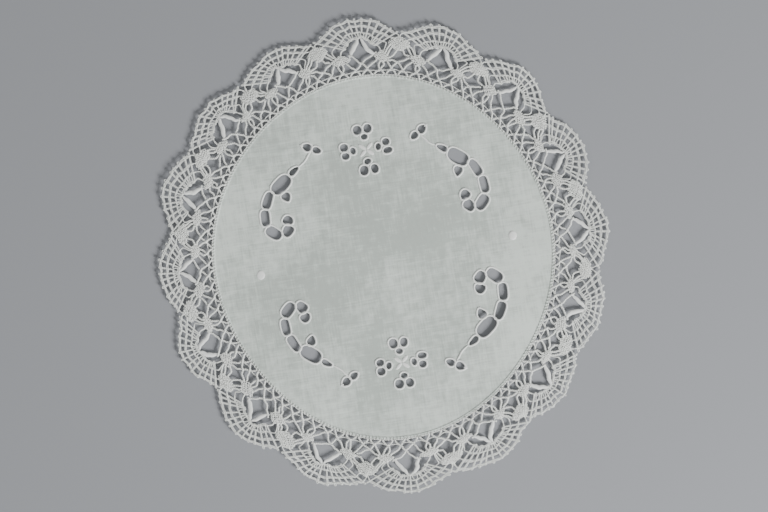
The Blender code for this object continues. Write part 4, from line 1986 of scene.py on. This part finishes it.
FLOWER_SATIN = {
    "flower centre, right": Satin(1.6, 1.3, 1.9, 0.8, 42.0),
    "flower centre, left": Satin(-1.6, 1.3, 1.9, 0.8, 138.0),
    "flower centre, low right": Satin(1.6, -1.5, 1.9, 0.8, -42.0),
    "flower centre, low left": Satin(-1.6, -1.5, 1.9, 0.8, 222.0),
}
SIDE_DOTS = {
    "left dot": Satin(-55.0, 0.6, 1.95, 1.85, 90.0),
    "right dot": Satin(57.4, -0.4, 1.95, 1.85, 90.0),
}


@dataclass(frozen=True)
class SatinWork:
    """The padded satin stitches: low domes crossed by parallel threads."""

    pinning: Pinning
    height_mm: float = 0.5
    crown_mm: float = 0.341
    stitch_mm: float = 0.34
    rib: float = 0.07
    bluntness: float = 0.004
    rings: int = 40
    sides: int = 16

    def dome(self, satin: Satin, carry: Callable[[np.ndarray], np.ndarray]) -> Patch:
        """Build one dome: an oval tube along its length, round at its ends.

        Args:
            satin: The shape.
            carry: Moves its points to their flower.

        Returns:
            Its surface, ribbed by the stitches that cross it.
        """
        share = np.linspace(-1.0, 1.0, self.rings)
        run = share * satin.half_long_mm
        spots = turned(np.column_stack([run, np.zeros_like(run)]), satin.lean_deg)
        spots = carry(spots + np.array([satin.x_mm, satin.y_mm]))
        path = self.pinning.laid(spots, self.height_mm)
        swell = np.sqrt(np.clip(1.0 - share**2, self.bluntness, 1.0))[:, None]
        rib = MM * (1.0 + self.rib * np.cos(TAU * run / self.stitch_mm))[:, None]
        wide = satin.half_wide_mm * swell * rib
        high = self.crown_mm * min(1.0, satin.half_wide_mm) * np.sqrt(swell) * rib
        return tube(path * MM, wide, high, self.sides)

    def surface(self) -> Patch:
        """Stitch the flowers' centres and the two side dots.

        Returns:
            The surface of all the domes.
        """
        patches: list[Patch] = []
        for side in FLOWER_SIDES:
            carry = partial(in_flower, side=side)
            patches += [self.dome(satin, carry) for satin in FLOWER_SATIN.values()]
        patches += [self.dome(satin, np.copy) for satin in SIDE_DOTS.values()]
        return joined(patches)


# ------------------------------------------------------------------ studio
class Lamp(NamedTuple):
    """One soft lamp: its place, the side of its square and its power in watts."""

    place: tuple[float, float, float]
    side_m: float
    power: float


LAMPS = {
    "key_lamp": Lamp((0.75, -0.95, 0.62), 0.4, 32.5),
    "fill_lamp": Lamp((-0.9, 0.5, 0.9), 0.9, 3.1),
}


@dataclass(frozen=True)
class Studio:
    """The plain pale table, the soft light, and the camera straight above."""

    floor_side_m: float = 6.0
    floor_finish: Finish = Finish("floor_paper", (0.31, 0.32, 0.34), 0.9, 0.0)
    sky_strength: float = 0.31
    camera_height_m: float = 0.95
    frame_height_m: float = 0.226
    frame_shape: float = 768.0 / 512.0
    sensor_mm: float = 36.0
    turn_deg: float = 9.5

    def floor(self) -> None:
        """Lay a wide flat floor under the doily."""
        half = 0.5 * self.floor_side_m
        corners = [(-half, -half, 0.0), (half, -half, 0.0), (half, half, 0.0), (-half, half, 0.0)]
        mesh = bpy.data.meshes.new("floor")
        mesh.from_pydata(corners, [], [(0, 1, 2, 3)])
        material, _, _ = self.floor_finish.start()
        mesh.materials.append(material)
        floor = bpy.data.objects.new("floor", mesh)
        bpy.context.collection.objects.link(floor)

    def light(self) -> None:
        """Hang the lamps, each turned to the doily, under a pale sky."""
        world = bpy.data.worlds.new("studio")
        world.use_nodes = True
        sky = world.node_tree.nodes["Background"]
        sky.inputs["Color"].default_value = (1.0, 1.0, 1.0, 1.0)
        sky.inputs["Strength"].default_value = self.sky_strength
        bpy.context.scene.world = world
        for name, lamp in LAMPS.items():
            light = bpy.data.lights.new(name, "AREA")
            light.size = lamp.side_m
            light.energy = lamp.power
            item = bpy.data.objects.new(name, light)
            item.location = lamp.place
            x, y, z = unit_length(np.array(lamp.place))
            item.rotation_euler = (math.acos(z), 0.0, math.atan2(x, -y))
            bpy.context.collection.objects.link(item)

    def camera(self) -> None:
        """Set the camera straight above, rolled so that the doily lies as in the photograph."""
        lens = bpy.data.cameras.new("camera")
        lens.sensor_width = self.sensor_mm
        lens.lens = self.sensor_mm * self.camera_height_m / (self.frame_height_m * self.frame_shape)
        camera = bpy.data.objects.new("camera", lens)
        camera.location = (0.0, 0.0, self.camera_height_m)
        camera.rotation_euler = (0.0, 0.0, math.radians(-self.turn_deg))
        bpy.context.collection.objects.link(camera)
        bpy.context.scene.camera = camera


LINEN_WEAVE = LinenFinish("linen_weave", (0.765, 0.835, 0.775), shade=(0.515, 0.573, 0.527))
LACE_THREAD = ThreadFinish("lace_thread", (0.93, 0.95, 0.91), shade=(0.82, 0.84, 0.8))
STITCH_THREAD = ThreadFinish("stitch_thread", (0.95, 0.965, 0.94), shade=(0.88, 0.9, 0.87))


def make_linen(
    pinning: Pinning, linen: bpy.types.Material, stitch: bpy.types.Material
) -> list[bpy.types.Object]:
    """Make the linen centre: its sheet first, then its hem and its stitching.

    Args:
        pinning: Where everything is pinned.
        linen: The linen's material.
        stitch: The sewing thread's material.

    Returns:
        The sheet and the pieces that belong to it.
    """
    cutwork = Cutwork()
    sheet = LinenSheet(pinning, cutwork)
    cloth = make_piece("linen_sheet", sheet.surface(), linen)
    cloth.data.set_sharp_from_angle(angle=math.radians(SHARP_DEG))
    edges = StitchedEdges(pinning, cutwork)
    return [
        cloth,
        make_piece("linen_hem", Hem(pinning, sheet).surface(), linen),
        make_piece("cutwork_stitches", edges.surface(), stitch),
        make_piece("satin_stitches", SatinWork(pinning).surface(), stitch),
    ]


def make_lace(
    pinning: Pinning, lace: bpy.types.Material, stitch: bpy.types.Material
) -> list[bpy.types.Object]:
    """Make the lace edging, and the whipping that sews it on.

    Args:
        pinning: Where everything is pinned.
        lace: The lace thread's material.
        stitch: The sewing thread's material, whiter than the lace thread; the dense leaves share it as
            a painted highlight.

    Returns:
        The whipping, the fans' trails, and then the rest of the lace.
    """
    plan = FanPlan(pinning)
    works = {
        "whipping": (Whipping(pinning, WHIPPING_THREAD), stitch),
        "fan_trails": (FanTrails(pinning, TRAIL_THREAD, plan), lace),
        "fan_workers": (FanWorkers(pinning, WORKER_THREAD, plan), lace),
        # The leaves take the whiter sewing thread as a painted highlight on the raised, dense tallies.
        "lace_leaves": (Leaves(pinning, WORKER_THREAD), stitch),
        "spiders": (ClothStitch(pinning, CLOTH_THREAD, SPIDERS), lace),
        "diamonds": (ClothStitch(pinning, CLOTH_THREAD, DIAMONDS), lace),
        "lace_ground": (Ground(pinning, GROUND_THREAD), lace),
        "footside": (Footside(pinning, FOOT_THREAD), lace),
    }
    return [
        make_piece(name, work.surface(), finish)
        for name, (work, finish) in works.items()
    ]


def main() -> None:
    """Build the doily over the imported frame: finishes, linen, lace, then the studio."""
    logging.basicConfig(level=logging.INFO, format="%(name)s %(message)s")
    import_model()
    fibre, plied = fibre_group(), ply_group()
    linen = LINEN_WEAVE.make(fibre, weave_group())
    lace = LACE_THREAD.make(fibre, plied)
    stitch = STITCH_THREAD.make(fibre, plied)

    pinning = Pinning()
    cloth, roll, rims, satin = make_linen(pinning, linen, stitch)
    whip, trails, *others = make_lace(pinning, lace, stitch)
    for piece in (cloth, roll, rims, satin):
        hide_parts("linen_centre")
    for piece in [trails, whip, *others]:
        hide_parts("lace_edging")

    studio = Studio()
    studio.floor()
    studio.light()
    studio.camera()


if __name__ == "__main__":
    main()
